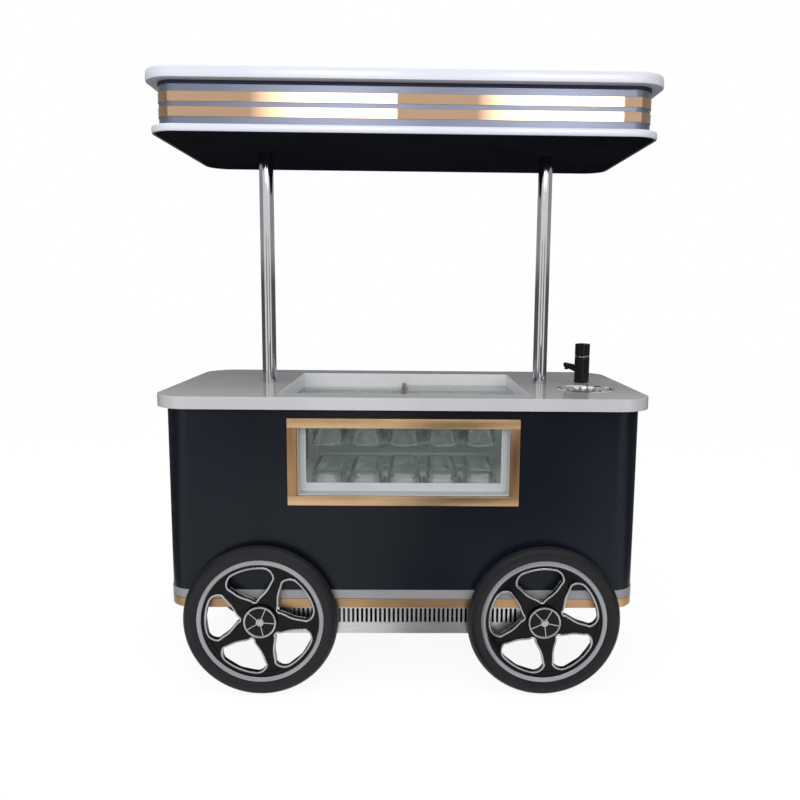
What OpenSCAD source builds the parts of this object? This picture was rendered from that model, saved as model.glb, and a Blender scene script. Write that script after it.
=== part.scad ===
// Ice cream push cart: a counter with a chilled pan well on two large wheels and two casters,
// under a flat canopy on two posts. Millimetres, +Z up, the serving window faces -Y.
// The origin is on the floor under the middle of the counter.

/* [Counter] */
// Length of the counter past each end of the well
counter_end = 392; // [380:2:410]
// Depth of the counter top, front to back
counter_d = 840; // [820:10:920]
// Height of the counter's edge
counter_t = 40; // [30:1:50]
// Thickness of the slab inside the edge
counter_skin = 12; // [8:1:20]
// Height of the counter's upper face above the floor
counter_top = 994; // [960:2:1020]
// Plan radius of the counter's corners
counter_r = 115; // [90:5:140]

/* [Body] */
// Overhang of the counter past the body at each end
overhang_x = 26; // [24:1:40]
// Overhang of the counter past the body at the front and back
overhang_y = 50; // [45:1:70]
// Plan radius of the body's corners
body_r = 80; // [60:5:100]
// Thickness of the body's wall
body_wall = 20; // [12:1:24]
// Height of the body's lower edge above the floor
body_bottom = 286; // [280:1:290]
// Height of the gold band round the foot of the body
gold_band_h = 31; // [20:1:40]
// Height of the silver band above the gold one
silver_band_h = 30; // [20:1:40]
// How far the bands stand out from the body
band_proud = 2; // [1:0.5:4]

/* [Chassis] */
// Height and width of the chassis rails and beams
rail_h = 40; // [30:1:50]
// Wall of the chassis channels
rail_wall = 3; // [2:0.5:5]
// Thickness of the cabinet floors and partitions
panel_t = 3; // [2:0.5:5]

/* [Vent skirt] */
// Length of the slotted skirt
skirt_l = 820; // [700:10:830]
// How far the skirt hangs below the body
skirt_drop = 92; // [70:1:95]
// Sheet thickness of the skirt and the machine tray
skirt_t = 3; // [1.5:0.5:4]
// How far the skirt is set back from the body's front
skirt_setback = 5; // [3:1:10]
// Width of a vent slot
slot_w = 8; // [5:0.5:9]
// Height of a vent slot
slot_h = 48; // [25:1:50]
// Distance between vent slots
slot_pitch = 15; // [12:0.5:20]
// Length of the row of slots
slot_row_l = 765; // [600:15:765]

/* [Wheels] */
// Outer diameter of the tyre
wheel_d = 506; // [490:2:520]
// Width of the tyre
tyre_w = 42; // [38:1:44]
// Distance from the end of the skirt to the middle of a front wheel
wheel_reach = 55; // [45:1:80]
// Gap between the tyre and the bands
wheel_gap = 6; // [4:0.5:10]
// Radius of the tyre's seat on the rim
rim_seat_r = 214; // [211:1:218]
// Outer radius of the bright rim
rim_r = 208; // [205:1:210]
// Inner radius of the rim, where the spokes start
rim_in_r = 180; // [175:1:184]
// Width of the rim
rim_w = 32; // [28:1:36]
// Thickness of the spokes
spoke_t = 16; // [10:1:20]
// Number of spokes
spoke_count = 5; // [4:1:6]
// Radius of the hub
hub_r = 53; // [48:1:54]
// Width of the hub
hub_w = 34; // [30:1:36]
// Diameter of the stub axle
axle_d = 20; // [16:1:24]
// Radial clearance of every running fit
run_clear = 0.05; // [0.02:0.01:0.08]

/* [Casters] */
// Diameter of the caster wheel
caster_d = 200; // [180:5:205]
// Width of the caster wheel
caster_w = 45; // [35:1:48]
// Overall height of the caster
caster_h = 240; // [238:1:250]
// Trail of the caster
caster_trail = 55; // [45:1:60]
// Distance from the end of the skirt to a caster's king pin
caster_reach = 190; // [185:1:200]
// Distance of the casters behind the middle of the cart
caster_y = 262; // [240:2:264]
// Thickness of the tread on the caster wheel
tread_t = 14; // [10:1:20]

/* [Well] */
// Length of the well opening
well_l = 816; // [780:4:830]
// Depth of the well opening
well_d = 630; // [610:2:640]
// Distance of the well's middle behind the counter's middle
well_y = -15; // [-18:1:-10]
// Wall of the white collar
collar_t = 4; // [3:0.5:6]
// Depth of the upper lid below the counter's face
lid_depth = 44; // [38:1:50]
// Thickness of a glass lid
lid_t = 6; // [4:0.5:8]
// Height step between the two lid tracks
track_step = 9; // [8:0.5:12]
// How far the lids overlap at the middle
lid_overlap = 24; // [16:1:30]
// Width of the dark strip on each lid's edge
lid_strip_w = 14; // [10:1:20]

/* [Pans] */
// Length of a pan over its rim
pan_l = 290; // [270:2:290]
// Width of a pan over its rim
pan_w = 126; // [110:1:128]
// Distance between pans in a row
pan_pitch = 130; // [128:1:136]
// Number of pans in a row
pan_count = 5; // [3:1:5]
// Depth of an upper pan
pan_upper_h = 118; // [90:1:130]
// Depth of a lower pan
pan_lower_h = 83; // [60:1:100]
// Wall of a pan
pan_wall = 3; // [2:0.5:4]
// Width of a pan's rim
pan_rim = 8; // [6:0.5:10]

/* [Cold tank] */
// Inner depth of the tank, front to back
tank_d = 596; // [594:1:600]
// Depth of the tank's floor below the counter's upper face
tank_depth = 348; // [340:1:355]
// Sheet thickness of the tank
tank_t = 2; // [1.5:0.5:3]
// Foam under the tank
foam_t = 48; // [30:1:60]
// Foam at each end of the tank
foam_end = 32; // [20:1:40]

/* [Window] */
// Length of the window trim
trim_l = 750; // [700:5:770]
// Height of the window trim
trim_h = 286; // [270:2:290]
// Distance from the counter's upper face down to the window trim
trim_drop = 73; // [68:1:78]
// Width of the trim bars
trim_w = 31; // [25:1:36]
// Thickness of the trim bars
trim_t = 10; // [6:1:12]
// Width of the white frame beside the glass
sash_w = 22; // [15:1:30]
// Height of the white frame below the glass
sash_h = 30; // [20:1:36]
// Thickness of the white liner
liner_t = 3; // [2:0.5:4]
// Thickness of the white frame in front of the glass
sash_t = 6; // [4:1:8]
// Thickness of the double glass
glass_t = 12; // [8:1:14]

/* [Posts] */
// Diameter of the posts
post_d = 50; // [42:1:56]
// Wall of the posts
post_wall = 2; // [1.5:0.5:3]
// Distance from the end of the well to the middle of a post
post_reach = 84; // [80:1:88]
// Height of the post sockets
socket_h = 120; // [80:5:160]

/* [Canopy] */
// Length of the canopy's top slab
roof_l = 1596; // [1500:2:1700]
// Depth of the canopy's top slab
roof_d = 832; // [800:2:838]
// Height of the top slab's edge
roof_t = 34; // [25:1:45]
// Height of the canopy's underside above the counter
serving_h = 804; // [740:2:860]
// Height of the bottom slab's edge
ceiling_t = 22; // [16:1:30]
// How far the bottom slab is set in from the top slab
ceiling_inset = 13; // [8:1:20]
// Height of the fascia between the slabs
fascia_h = 130; // [110:1:150]
// How far the fascia is set in from the top slab
fascia_inset = 37; // [30:1:50]
// Thickness of the fascia
fascia_t = 12; // [8:1:18]
// Plan radius of the top slab's corners
roof_r = 98; // [85:1:115]
// Thickness of the sheet that closes each slab
sheet_t = 4; // [3:0.5:6]
// Height of a gold stripe on the fascia
stripe_h = 30; // [25:1:36]
// Height of the silver gap between the stripes
stripe_gap = 14; // [8:1:20]
// Height of the lower stripe above the bottom slab
stripe_z = 24; // [20:1:34]
// How far the stripes stand out from the fascia
stripe_proud = 2; // [1:0.5:4]

/* [Sink and tap] */
// Distance of the sink from the counter's end
sink_inset = 170; // [165:1:175]
// Distance of the sink behind the counter's middle
sink_y = -148; // [-160:1:-145]
// Diameter of the sink's rim
sink_rim_d = 200; // [180:2:204]
// Inner diameter of the sink's bowl
sink_d = 176; // [160:2:180]
// Depth of the bowl
sink_depth = 130; // [100:2:150]
// Sheet thickness of the bowl
sink_t = 2; // [1.5:0.5:3]
// Diameter of the drain pipe
drain_d = 40; // [32:1:45]
// Distance of the tap from the counter's end
tap_inset = 145; // [140:1:150]
// Distance of the tap behind the counter's middle
tap_y = 40; // [10:1:45]
// Width of the square tap column
tap_w = 42; // [38:1:50]
// Height of the tap's column below its ring
tap_h = 93; // [90:1:110]
// Height of the tap's turning head
head_h = 44; // [35:1:55]
// Turn of the column away from the front
tap_turn = 134; // [100:1:150]
// Length of the spout from the column's face
spout_l = 55; // [45:1:90]

/* [Back] */
// Width of a cabinet door
door_w = 210; // [190:2:214]
// Height of a cabinet door
door_h = 560; // [480:5:580]
// Thickness of a cabinet door
door_t = 18; // [14:1:20]
// Distance of a door's hinge from the counter's end
door_inset = 132; // [130:1:136]
// Gap between a door and the panels at the back
back_gap = 54.5; // [40:0.5:60]
// Height of the panels at the back
back_panel_h = 230; // [200:5:250]
// Length of the control panel
control_l = 230; // [200:5:240]

/* [Machine room] */
// Diameter of the compressor
compressor_d = 160; // [140:2:180]
// Height of the compressor
compressor_h = 195; // [160:5:220]
// Length of the condenser
condenser_l = 340; // [280:5:360]
// Height of the condenser
condenser_h = 260; // [220:5:280]
// Diameter of the fan
fan_d = 240; // [200:5:245]

/* [Hidden] */
left = -1;
right = 1;
$fn = 64;
// Extra reach of a cutting shape past the face that it cuts
cut = 1;
// Gap between faces that slide or swing past each other
slide_gap = 0.5;

// Body
counter_l = well_l + 2 * counter_end;
body_l = counter_l - 2 * overhang_x;
body_d = counter_d - 2 * overhang_y;
body_top = counter_top - counter_t;
body_front = -body_d / 2;
body_back = body_d / 2;
inner_l = body_l - 2 * body_wall;
inner_d = body_d - 2 * body_wall;
inner_r = body_r - body_wall;
skin_z = counter_top - counter_skin;
band_top = body_bottom + gold_band_h + silver_band_h;

// Chassis
rail_top = body_bottom + rail_h;
rail_half_l = inner_l / 2 - inner_r;
post_x = well_l / 2 + post_reach;
caster_x = skirt_l / 2 + caster_reach;
beam_xs = [post_x, caster_x, rail_half_l - rail_h / 2];
pad_l = 110;
pad_d = 90;
floor_top = rail_top + panel_t;
partition_x = well_l / 2 + foam_end;

// Wheels
wheel_r = wheel_d / 2;
wheel_x = skirt_l / 2 + wheel_reach;
wheel_y = body_front - band_proud - wheel_gap - tyre_w / 2;
seat_w = 24;
gap_corner_r = 30;
gap_apex_r = 8;
gap_apex_d = hub_r + 24;
gap_setback = 2.5;
gap_corner_d = rim_in_r - gap_setback - gap_corner_r;
gap_spread = 18 * 5 / spoke_count;
wheel_turn = [103, 97];
counterbore_r = axle_d / 2 + 10;
counterbore_d = 12;
nut_d = axle_d + 10;
nut_t = 8;
axle_block_w = 80;
axle_block_h = body_bottom - wheel_r + 22;
shoulder_d = axle_d + 12;
cap_t = 3.8;
cap_ring_w = 5;

// Casters
caster_plate_l = 100;
caster_plate_d = 80;
caster_plate_t = 6;
race_d = 64;
race_h = 6;
crown_d = 72;
crown_t = 9;
king_pin_d = 16;
king_head_d = 26;
king_head_t = 4;
caster_r = caster_d / 2;
caster_hub_w = caster_w + 9;
leg_gap = caster_hub_w + 2;
leg_t = 5;
leg_foot_r = 18;
caster_bolt_d = 10;
caster_nut_t = 5;
caster_hub_r = 22;
bolt_d = 8;
bolt_head_d = 13;
bolt_head_h = 5;
bolt_clear = 1;
bolt_x = 40;
bolt_y = 30;
race_z = caster_h - caster_plate_t - race_h;
crown_z = race_z - slide_gap - crown_t;
brake_x = -42;
brake_z = crown_z - 8.5;
brake_pin_d = 6;
brake_reach = 98;
brake_w = 44;
brake_pad_far = 73;
brake_pad_near = 53;

// Skirt and tray
skirt_z = body_bottom - skirt_drop;
skirt_y = body_front + skirt_setback;
tray_y = skirt_y + skirt_t;
tray_back = inner_d / 2 - 10;
tray_top = skirt_z + skirt_t;
slot_count = floor(slot_row_l / slot_pitch);
slot_land = 5;
slot_z = body_bottom - slot_land - slot_h;

// Well and lids
well_front = well_y - well_d / 2;
well_back = well_y + well_d / 2;
collar_half_l = well_l / 2 - collar_t;
upper_lid_z = counter_top - lid_depth - lid_t;
lower_lid_z = upper_lid_z - track_step;
collar_z = lower_lid_z - 16;
upper_ledge = 16;
lower_ledge = 26;
ledge_t = 5;
ledge_gap = 0.3;
lid_l = collar_half_l - slide_gap + lid_overlap / 2;
upper_strip_h = 10;
lower_strip_h = track_step - lid_t - 1;

// Cold tank and window
tank_l = well_l - 2 * tank_t;
tank_y = well_back - tank_t - tank_d / 2;
tank_front = well_back - tank_d - 2 * tank_t;
tank_floor = counter_top - tank_depth;
tank_under = tank_floor - tank_t;
foam_z = tank_under - foam_t;
open_l = trim_l - 2 * trim_w;
trim_z = counter_top - trim_drop - trim_h;
open_z = trim_z + trim_w;
open_h = trim_h - 2 * trim_w;
glass_y = tank_front - glass_t;
sash_y = glass_y - sash_t;
glass_seat = 10;

// Pans
pan_top = lower_lid_z - ledge_t - 1;
pan_rim_t = 3;
row_gap = 2;
row_y = row_gap + pan_l / 2;
rack_bar_w = 9;
rack_bar_h = 10;
rack_top = pan_top - pan_rim_t;
rack_gap = 1;
rack_x = collar_half_l - 2 - rack_bar_w;
evaporator_l = 660;
evaporator_d = 220;
evaporator_h = 128;
evaporator_y = tank_y + tank_d / 2 - 18 - evaporator_d;
fin_pitch = 30;
fin_cut = 24;

// Canopy
ceiling_l = roof_l - 2 * ceiling_inset;
ceiling_d = roof_d - 2 * ceiling_inset;
ceiling_r = roof_r - ceiling_inset;
fascia_l = roof_l - 2 * fascia_inset;
fascia_d = roof_d - 2 * fascia_inset;
fascia_r = roof_r - fascia_inset;
attic_l = fascia_l - 2 * fascia_t;
ceiling_z = counter_top + serving_h;
fascia_z = ceiling_z + ceiling_t;
roof_z = fascia_z + fascia_h;
glue_t = 0.2;
post_clear = 0.3;
socket_wall = 6;
socket_flange_d = post_d + 40;
socket_base_t = 6;
bracket_flange_d = 130;
bracket_h = 60;
post_bottom = floor_top + socket_base_t;
post_top = ceiling_z + sheet_t + bracket_h;

// Sink, tap and water
sink_x = counter_l / 2 - sink_inset;
tap_x = counter_l / 2 - tap_inset;
sink_r = sink_d / 2;
sink_rim_t = 1.5;
sink_corner_r = 40;
sink_bottom = counter_top - sink_depth;
drain_wall = 3;
drain_flange_d = drain_d + 20;
water_tank_l = 190;
water_tank_d = 260;
water_tank_h = 285;
water_tank_wall = 3;
water_tank_top = floor_top + water_tank_h;
water_tank_x = inner_l / 2 - 13 - water_tank_l;
waste_y = sink_y - 162;
fresh_y = waste_y + water_tank_d + 30;
pipe_dip = 20;
riser_d = 16;
shank_d = 28;
shank_h = 20;
locknut_d = 44;
locknut_t = 8;
filler_d = 60;
filler_cap_d = 70;
filler_cap_t = 10;
pump_d = 44;
pump_h = 90;
pump_z = floor_top + 15;
tap_z = counter_top + slide_gap;
ring_h = 7;
ring_z = tap_z + tap_h;
head_z = ring_z + ring_h + 0.3;
spout_w = 18;
spout_z = tap_h - 57;
spout_rise = 18;
spout_root_h = 28;
spout_tip_h = 16;
nozzle_d = 14;

// Back
hinge_x = counter_l / 2 - door_inset;
door_edge = hinge_x - 6;
door_z = band_top + 5;
door_y = body_back + slide_gap;
door_lap = 14;
hinge_y = body_back + 7;
hinge_h = 60;
hinge_inset = 80;
hinge_pin_d = 6;
knuckle_d = 10;
knuckle_h = 18;
leaf_w = 18;
leaf_t = 2;
handle_l = 160;
handle_d = 10;
handle_gap = 14;
handle_inset = 20;
back_panel_z = band_top + 12;
back_panel_t = 3;
panel_lap = 15;
panel_gap = 15;
vent_x = back_gap + door_w - door_edge;
vent_l = -2 * vent_x - control_l - panel_gap;
control_x = vent_x + vent_l + panel_gap;
louvre_count = 8;
louvre_pitch = 23;
louvre_h = 9;
control_row = back_panel_z + back_panel_h * 0.66;
inlet_row = back_panel_z + back_panel_h * 0.3;
knob_x = control_x + control_l * 0.32;
switch_x = control_x + control_l * 0.72;
inlet_x = control_x + control_l * 0.5;
knob_d = 44;
knob_h = 16;
knob_shaft_d = 6;
knob_shaft_l = 18;
rocker_w = 18;
rocker_half_h = 12.5;
rocker_gap = 0.9;
bezel_w = 4;
bezel_t = 3;
inlet_l = 50;
inlet_h = 28;
inlet_depth = 22;
inlet_wall = 4;

// Machine room
condenser_y = -inner_d / 2 + rail_h + 20;
condenser_d = 50;
shroud_t = 3;
shroud_ring_h = 30;
shroud_ring_t = 3;
shroud_gap = 6;
fan_y = condenser_y + condenser_d + 7;
fan_z = tray_top + condenser_h / 2;
fan_hub_d = 50;
fan_hub_h = 24;
blade_count = 5;
blade_t = 2;
blade_w = 60;
blade_tilt = 25;
motor_d = 80;
motor_l = 60;
motor_y = fan_y + fan_hub_h + 9;
motor_shaft_d = 8;
motor_foot_w = 60;
compressor_x = (condenser_l + compressor_d) / 2;
compressor_y = 60;
compressor_foot_l = compressor_d + 20;
compressor_foot_d = compressor_d - 20;
compressor_foot_t = 6;
compressor_dome = compressor_d / 4;
compressor_top = tray_top + compressor_h;
line_d = 12;
elbow_d = 16;
line_z = compressor_top + 30;
line_clear = 1;
discharge_x = compressor_x - compressor_d / 8;
discharge_y = compressor_y - compressor_d / 4;
liquid_x = -discharge_x;
liquid_y = compressor_y + compressor_d * 3 / 8;
suction_x = compressor_x;
suction_y = compressor_y + compressor_d / 4;

function arc(c, r, a0, a1, steps) = [
    for (i = [0:steps]) let (a = a0 + (a1 - a0) * i / steps) [c[0] + r * cos(a), c[1] + r * sin(a)]
];

module rounded_rect(l, d, r) {
    square([l - 2 * r, d], center = true);
    square([l, d - 2 * r], center = true);
    for (x = [-1, 1], y = [-1, 1])
        translate([x * (l / 2 - r), y * (d / 2 - r)]) circle(r = r);
}

module rounded_block(l, d, h, r) {
    linear_extrude(h) rounded_rect(l, d, r);
}

// A rounded frame of the given height, whose wall lies inside its outer edge
module rounded_ring(l, d, h, r, wall) {
    linear_extrude(h) difference() {
        rounded_rect(l, d, r);
        rounded_rect(l - 2 * wall, d - 2 * wall, r - wall);
    }
}

// A box given by its low corner and its high corner
module span(low, high) {
    translate(low) cube(high - low);
}

module on_side(side) {
    if (side < 0) mirror([1, 0, 0]) children();
    else children();
}

module both_sides() {
    for (side = [left, right]) on_side(side) children();
}

// Places a shape made round +Z on an axis that points at the front or the back
module facing_front(p) {
    translate(p) rotate([90, 0, 0]) children();
}

module facing_back(p) {
    translate(p) rotate([-90, 0, 0]) children();
}

// Chassis: two channel rails, six channel beams between them and two caster pads
module rail(back) {
    y = back ? inner_d / 2 - rail_h : -inner_d / 2;
    pocket_y = back ? y - cut : y + rail_wall;
    difference() {
        span([-rail_half_l, y, body_bottom], [rail_half_l, y + rail_h, rail_top]);
        span([-rail_half_l - cut, pocket_y, body_bottom + rail_wall],
             [rail_half_l + cut, pocket_y + rail_h - rail_wall + cut, rail_top - rail_wall]);
    }
}

module beam(x) {
    half_l = inner_d / 2 - rail_h;
    difference() {
        span([x - rail_h / 2, -half_l, body_bottom], [x + rail_h / 2, half_l, rail_top]);
        span([x - rail_h / 2 + rail_wall, -half_l - cut, body_bottom - cut],
             [x + rail_h / 2 - rail_wall, half_l + cut, rail_top - rail_wall]);
    }
}

module caster_pad() {
    difference() {
        span([caster_x - pad_l / 2, caster_y - pad_d / 2, caster_h],
             [caster_x + pad_l / 2, caster_y + pad_d / 2, body_bottom]);
        for (x = [-1, 1], y = [-1, 1])
            translate([caster_x + x * bolt_x, caster_y + y * bolt_y, caster_h - cut])
                cylinder(d = bolt_d + bolt_clear, h = body_bottom - caster_h + 2 * cut);
    }
}

module chassis() {
    color("dimgray") {
        rail(false);
        rail(true);
        both_sides() {
            for (x = beam_xs) beam(x);
            caster_pad();
        }
    }
}

// Front wheels: local +Z points at the front
module at_wheel(side) {
    facing_front([side * wheel_x, wheel_y, wheel_r]) children();
}

module stub_axle(side) {
    block_y = -inner_d / 2;
    shoulder_l = block_y - wheel_y - hub_w / 2 - slide_gap;
    span([side * wheel_x - axle_block_w / 2, block_y, body_bottom - axle_block_h],
         [side * wheel_x + axle_block_w / 2, block_y + rail_h, body_bottom]);
    facing_front([side * wheel_x, block_y, wheel_r]) {
        translate([0, 0, -cut]) cylinder(d = shoulder_d, h = shoulder_l + cut);
        cylinder(d = axle_d, h = shoulder_l + hub_w + slide_gap - counterbore_d + nut_t);
        translate([0, 0, shoulder_l + hub_w - counterbore_d + 2 * slide_gap])
            cylinder(d = nut_d, h = nut_t, $fn = 6);
    }
}

module stub_axles() {
    color("gray") for (side = [left, right]) stub_axle(side);
}

// One opening between two spokes: a rounded triangle that points at the hub
function gap_outline() =
    let (
        corner = gap_corner_d * [cos(gap_spread), sin(gap_spread)],
        away = corner - [gap_apex_d, 0],
        tangent = atan2(away[1], away[0]) + acos((gap_corner_r - gap_apex_r) / norm(away))
    )
    concat(
        arc([0, 0], rim_in_r - gap_setback, -gap_spread, gap_spread, 8),
        arc(corner, gap_corner_r, gap_spread, tangent, 8),
        arc([gap_apex_d, 0], gap_apex_r, tangent, 360 - tangent, 6),
        arc([corner[0], -corner[1]], gap_corner_r, -tangent, -gap_spread, 8)
    );

module wheel(side) {
    turn = wheel_turn[side < 0 ? 0 : 1];
    color("#1c1c20") at_wheel(side) difference() {
        union() {
            rotate_extrude($fn = 96) polygon([
                [rim_in_r, -rim_w / 2], [rim_r, -rim_w / 2], [rim_r, -seat_w / 2], [rim_seat_r, -seat_w / 2],
                [rim_seat_r, seat_w / 2], [rim_r, seat_w / 2], [rim_r, rim_w / 2], [rim_in_r, rim_w / 2]
            ]);
            difference() {
                translate([0, 0, -spoke_t / 2]) cylinder(r = rim_in_r + cut, h = spoke_t, $fn = 96);
                for (i = [0:spoke_count - 1])
                    rotate(turn + i * 360 / spoke_count)
                        translate([0, 0, -spoke_t])
                            linear_extrude(2 * spoke_t) polygon(gap_outline());
            }
            translate([0, 0, -hub_w / 2]) cylinder(r = hub_r, h = hub_w);
        }
        translate([0, 0, -hub_w]) cylinder(d = axle_d + 2 * run_clear, h = 2 * hub_w);
        translate([0, 0, hub_w / 2 - counterbore_d]) cylinder(r = counterbore_r, h = counterbore_d + cut);
    }
}

module tyre(side) {
    color("#202022") at_wheel(side) difference() {
        rotate_extrude($fn = 96) translate([wheel_r - tyre_w / 2, 0]) circle(d = tyre_w);
        translate([0, 0, -tyre_w]) cylinder(r = rim_seat_r, h = 2 * tyre_w, $fn = 96);
    }
}

module hub_cap(side) {
    color("silver") at_wheel(side) translate([0, 0, hub_w / 2]) difference() {
        cylinder(r = hub_r, h = cap_t);
        translate([0, 0, cap_t / 2]) difference() {
            cylinder(r = hub_r - cap_ring_w, h = cap_t);
            cylinder(r = counterbore_r / 2, h = cap_t);
        }
    }
}

// Casters: they trail to the left at rest
module at_caster(side) {
    translate([side * caster_x, caster_y, 0]) children();
}

module caster_plate() {
    difference() {
        union() {
            translate([-caster_plate_l / 2, -caster_plate_d / 2, caster_h - caster_plate_t])
                cube([caster_plate_l, caster_plate_d, caster_plate_t]);
            translate([0, 0, race_z]) cylinder(d = race_d, h = race_h + cut);
            translate([0, 0, crown_z - slide_gap]) cylinder(d = king_pin_d, h = caster_h - crown_z);
            translate([0, 0, crown_z - slide_gap - king_head_t]) cylinder(d = king_head_d, h = king_head_t);
        }
        for (x = [-1, 1], y = [-1, 1])
            translate([x * bolt_x, y * bolt_y, race_z]) cylinder(d = bolt_d + bolt_clear, h = caster_h);
    }
}

module caster_bolt() {
    under = caster_h - caster_plate_t - run_clear;
    translate([0, 0, under - bolt_head_h]) cylinder(d = bolt_head_d, h = bolt_head_h, $fn = 6);
    translate([0, 0, under - cut]) cylinder(d = bolt_d, h = caster_plate_t + body_bottom - caster_h - 10);
}

module caster_plates() {
    color("silver") for (side = [left, right]) at_caster(side) {
        caster_plate();
        for (x = [-1, 1], y = [-1, 1]) translate([x * bolt_x, y * bolt_y, 0]) caster_bolt();
    }
}

module caster_leg() {
    top = crown_z + 4;
    foot = -caster_trail;
    rotate([90, 0, 0]) linear_extrude(leg_t) difference() {
        union() {
            polygon([
                [crown_d / 2 - 4, top], [crown_d / 2 - 4, top - 20], [foot + leg_foot_r, caster_r],
                [foot - leg_foot_r, caster_r], [foot - leg_foot_r, caster_r + 60],
                [brake_x - 9, brake_z - 8], [brake_x - 9, top]
            ]);
            translate([foot, caster_r]) circle(r = leg_foot_r);
        }
        translate([brake_x, brake_z]) circle(d = brake_pin_d + 2 * run_clear);
    }
}

module caster_fork(side) {
    reach = leg_gap / 2 + leg_t;
    color("gainsboro") at_caster(side) difference() {
        union() {
            translate([0, 0, crown_z]) cylinder(d = crown_d, h = crown_t);
            translate([0, leg_gap / 2 + leg_t, 0]) caster_leg();
            translate([0, -leg_gap / 2, 0]) caster_leg();
            facing_front([-caster_trail, reach + caster_nut_t, caster_r])
                cylinder(d = caster_bolt_d, h = 2 * (reach + caster_nut_t));
            for (y = [reach + caster_nut_t, -reach])
                facing_front([-caster_trail, y, caster_r])
                    cylinder(d = caster_bolt_d + 7, h = caster_nut_t, $fn = 6);
        }
        translate([0, 0, crown_z - cut])
            cylinder(d = king_pin_d + 2 * run_clear, h = crown_t + 2 * cut);
    }
}

module caster_wheel(side) {
    edge = 4;
    bore = caster_bolt_d / 2 + run_clear;
    web = caster_r - tread_t;
    half = [
        [bore, caster_hub_w / 2], [caster_hub_r, caster_hub_w / 2], [caster_hub_r, caster_w / 4],
        [web - 8, caster_w / 4], [web, caster_w / 2], [caster_r - edge, caster_w / 2],
        [caster_r, caster_w / 2 - edge]
    ];
    last = len(half) - 1;
    other_half = [for (i = [0:last]) [half[last - i][0], -half[last - i][1]]];
    color("#303034") at_caster(side)
        facing_front([-caster_trail, 0, caster_r])
            rotate_extrude($fn = 96) polygon(concat(half, other_half));
}

module caster_brake(side) {
    pin_l = leg_gap + 2 * leg_t + 6;
    barrel_l = leg_gap - 4;
    color("firebrick") at_caster(side) translate([brake_x, 0, brake_z]) {
        facing_front([0, pin_l / 2, 0]) cylinder(d = brake_pin_d, h = pin_l);
        facing_front([0, barrel_l / 2, 0]) cylinder(d = 2 * brake_pin_d, h = barrel_l);
        span([-brake_reach, -brake_w / 2, -3], [0, brake_w / 2, 1]);
        span([-brake_pad_far, -brake_w / 2 + 8, -13], [-brake_pad_near, brake_w / 2 - 8, -2]);
    }
}

// Body
module back_opening(x, z, l, h, lap) {
    span([x + lap, body_back - body_wall - cut, z + lap], [x + l - lap, body_back + cut, z + h - lap]);
}

module window_opening(y0, y1, shrink) {
    span([shrink - open_l / 2, y0, open_z + shrink], [open_l / 2 - shrink, y1, open_z + open_h - shrink]);
}

module body_shell() {
    color("#14141c") difference() {
        translate([0, 0, body_bottom])
            rounded_ring(body_l, body_d, body_top - body_bottom, body_r, body_wall);
        window_opening(body_front - cut, body_front + body_wall + cut, 0);
        both_sides() back_opening(door_edge - door_w, door_z, door_w, door_h, door_lap);
        back_opening(vent_x, back_panel_z, vent_l, back_panel_h, panel_lap);
        back_opening(control_x, back_panel_z, control_l, back_panel_h, panel_lap);
    }
}

module band(z, h) {
    translate([0, 0, z])
        rounded_ring(body_l + 2 * band_proud, body_d + 2 * band_proud, h, body_r + band_proud, band_proud);
}

module silver_band() {
    color("silver") band(body_bottom + gold_band_h, silver_band_h);
}

module gold_band() {
    color("#c89b5a") band(body_bottom, gold_band_h);
}

module vent_skirt() {
    color("lightgray") difference() {
        span([-skirt_l / 2, skirt_y, skirt_z], [skirt_l / 2, skirt_y + skirt_t, body_bottom]);
        for (i = [0:slot_count - 1])
            translate([(i - (slot_count - 1) / 2) * slot_pitch - slot_w / 2, skirt_y - cut, slot_z])
                cube([slot_w, skirt_t + 2 * cut, slot_h]);
    }
}

module machine_tray() {
    half_l = skirt_l / 2;
    color("silver") difference() {
        span([-half_l, tray_y, skirt_z], [half_l, tray_back, body_bottom]);
        span([skirt_t - half_l, tray_y - cut, tray_top],
             [half_l - skirt_t, tray_back - skirt_t, body_bottom + cut]);
    }
}

module cabinet_panels() {
    color("gainsboro") both_sides() {
        intersection() {
            translate([0, 0, rail_top]) rounded_block(inner_l, inner_d, panel_t, inner_r);
            span([partition_x, -inner_d, rail_top], [inner_l, inner_d, floor_top]);
        }
        span([partition_x, -inner_d / 2, floor_top], [partition_x + panel_t, inner_d / 2, skin_z]);
    }
}

// Counter
module counter() {
    color("#d4d4d8") difference() {
        translate([0, 0, body_top]) rounded_block(counter_l, counter_d, counter_t, counter_r);
        translate([0, 0, body_top - cut])
            rounded_block(inner_l, inner_d, counter_t - counter_skin + cut, inner_r);
        span([-well_l / 2, well_front, body_top], [well_l / 2, well_back, counter_top + cut]);
        translate([sink_x, sink_y, body_top]) cylinder(r = sink_r + sink_t + 1, h = 2 * counter_t);
        translate([tap_x, tap_y, body_top]) cylinder(d = shank_d + 2 * post_clear, h = 2 * counter_t);
        for (side = [left, right])
            translate([side * post_x, 0, body_top]) cylinder(d = post_d + 2 * post_clear, h = 2 * counter_t);
    }
}

module well_collar() {
    inner_front = well_front + collar_t;
    inner_back = well_back - collar_t;
    color("white") {
        difference() {
            span([-well_l / 2, well_front, collar_z], [well_l / 2, well_back, counter_top]);
            span([-collar_half_l, inner_front, upper_lid_z - ledge_gap],
                 [collar_half_l, inner_back, counter_top + cut]);
            span([-collar_half_l, inner_front + upper_ledge, lower_lid_z - ledge_gap],
                 [collar_half_l, inner_back - upper_ledge, counter_top]);
            span([-collar_half_l, tank_front + tank_t, collar_z - cut],
                 [collar_half_l, inner_back - lower_ledge, counter_top]);
            span([-collar_half_l, tank_front + tank_t, collar_z - cut],
                 [collar_half_l, inner_back, lower_lid_z - ledge_gap - ledge_t]);
        }
    }
}

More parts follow.
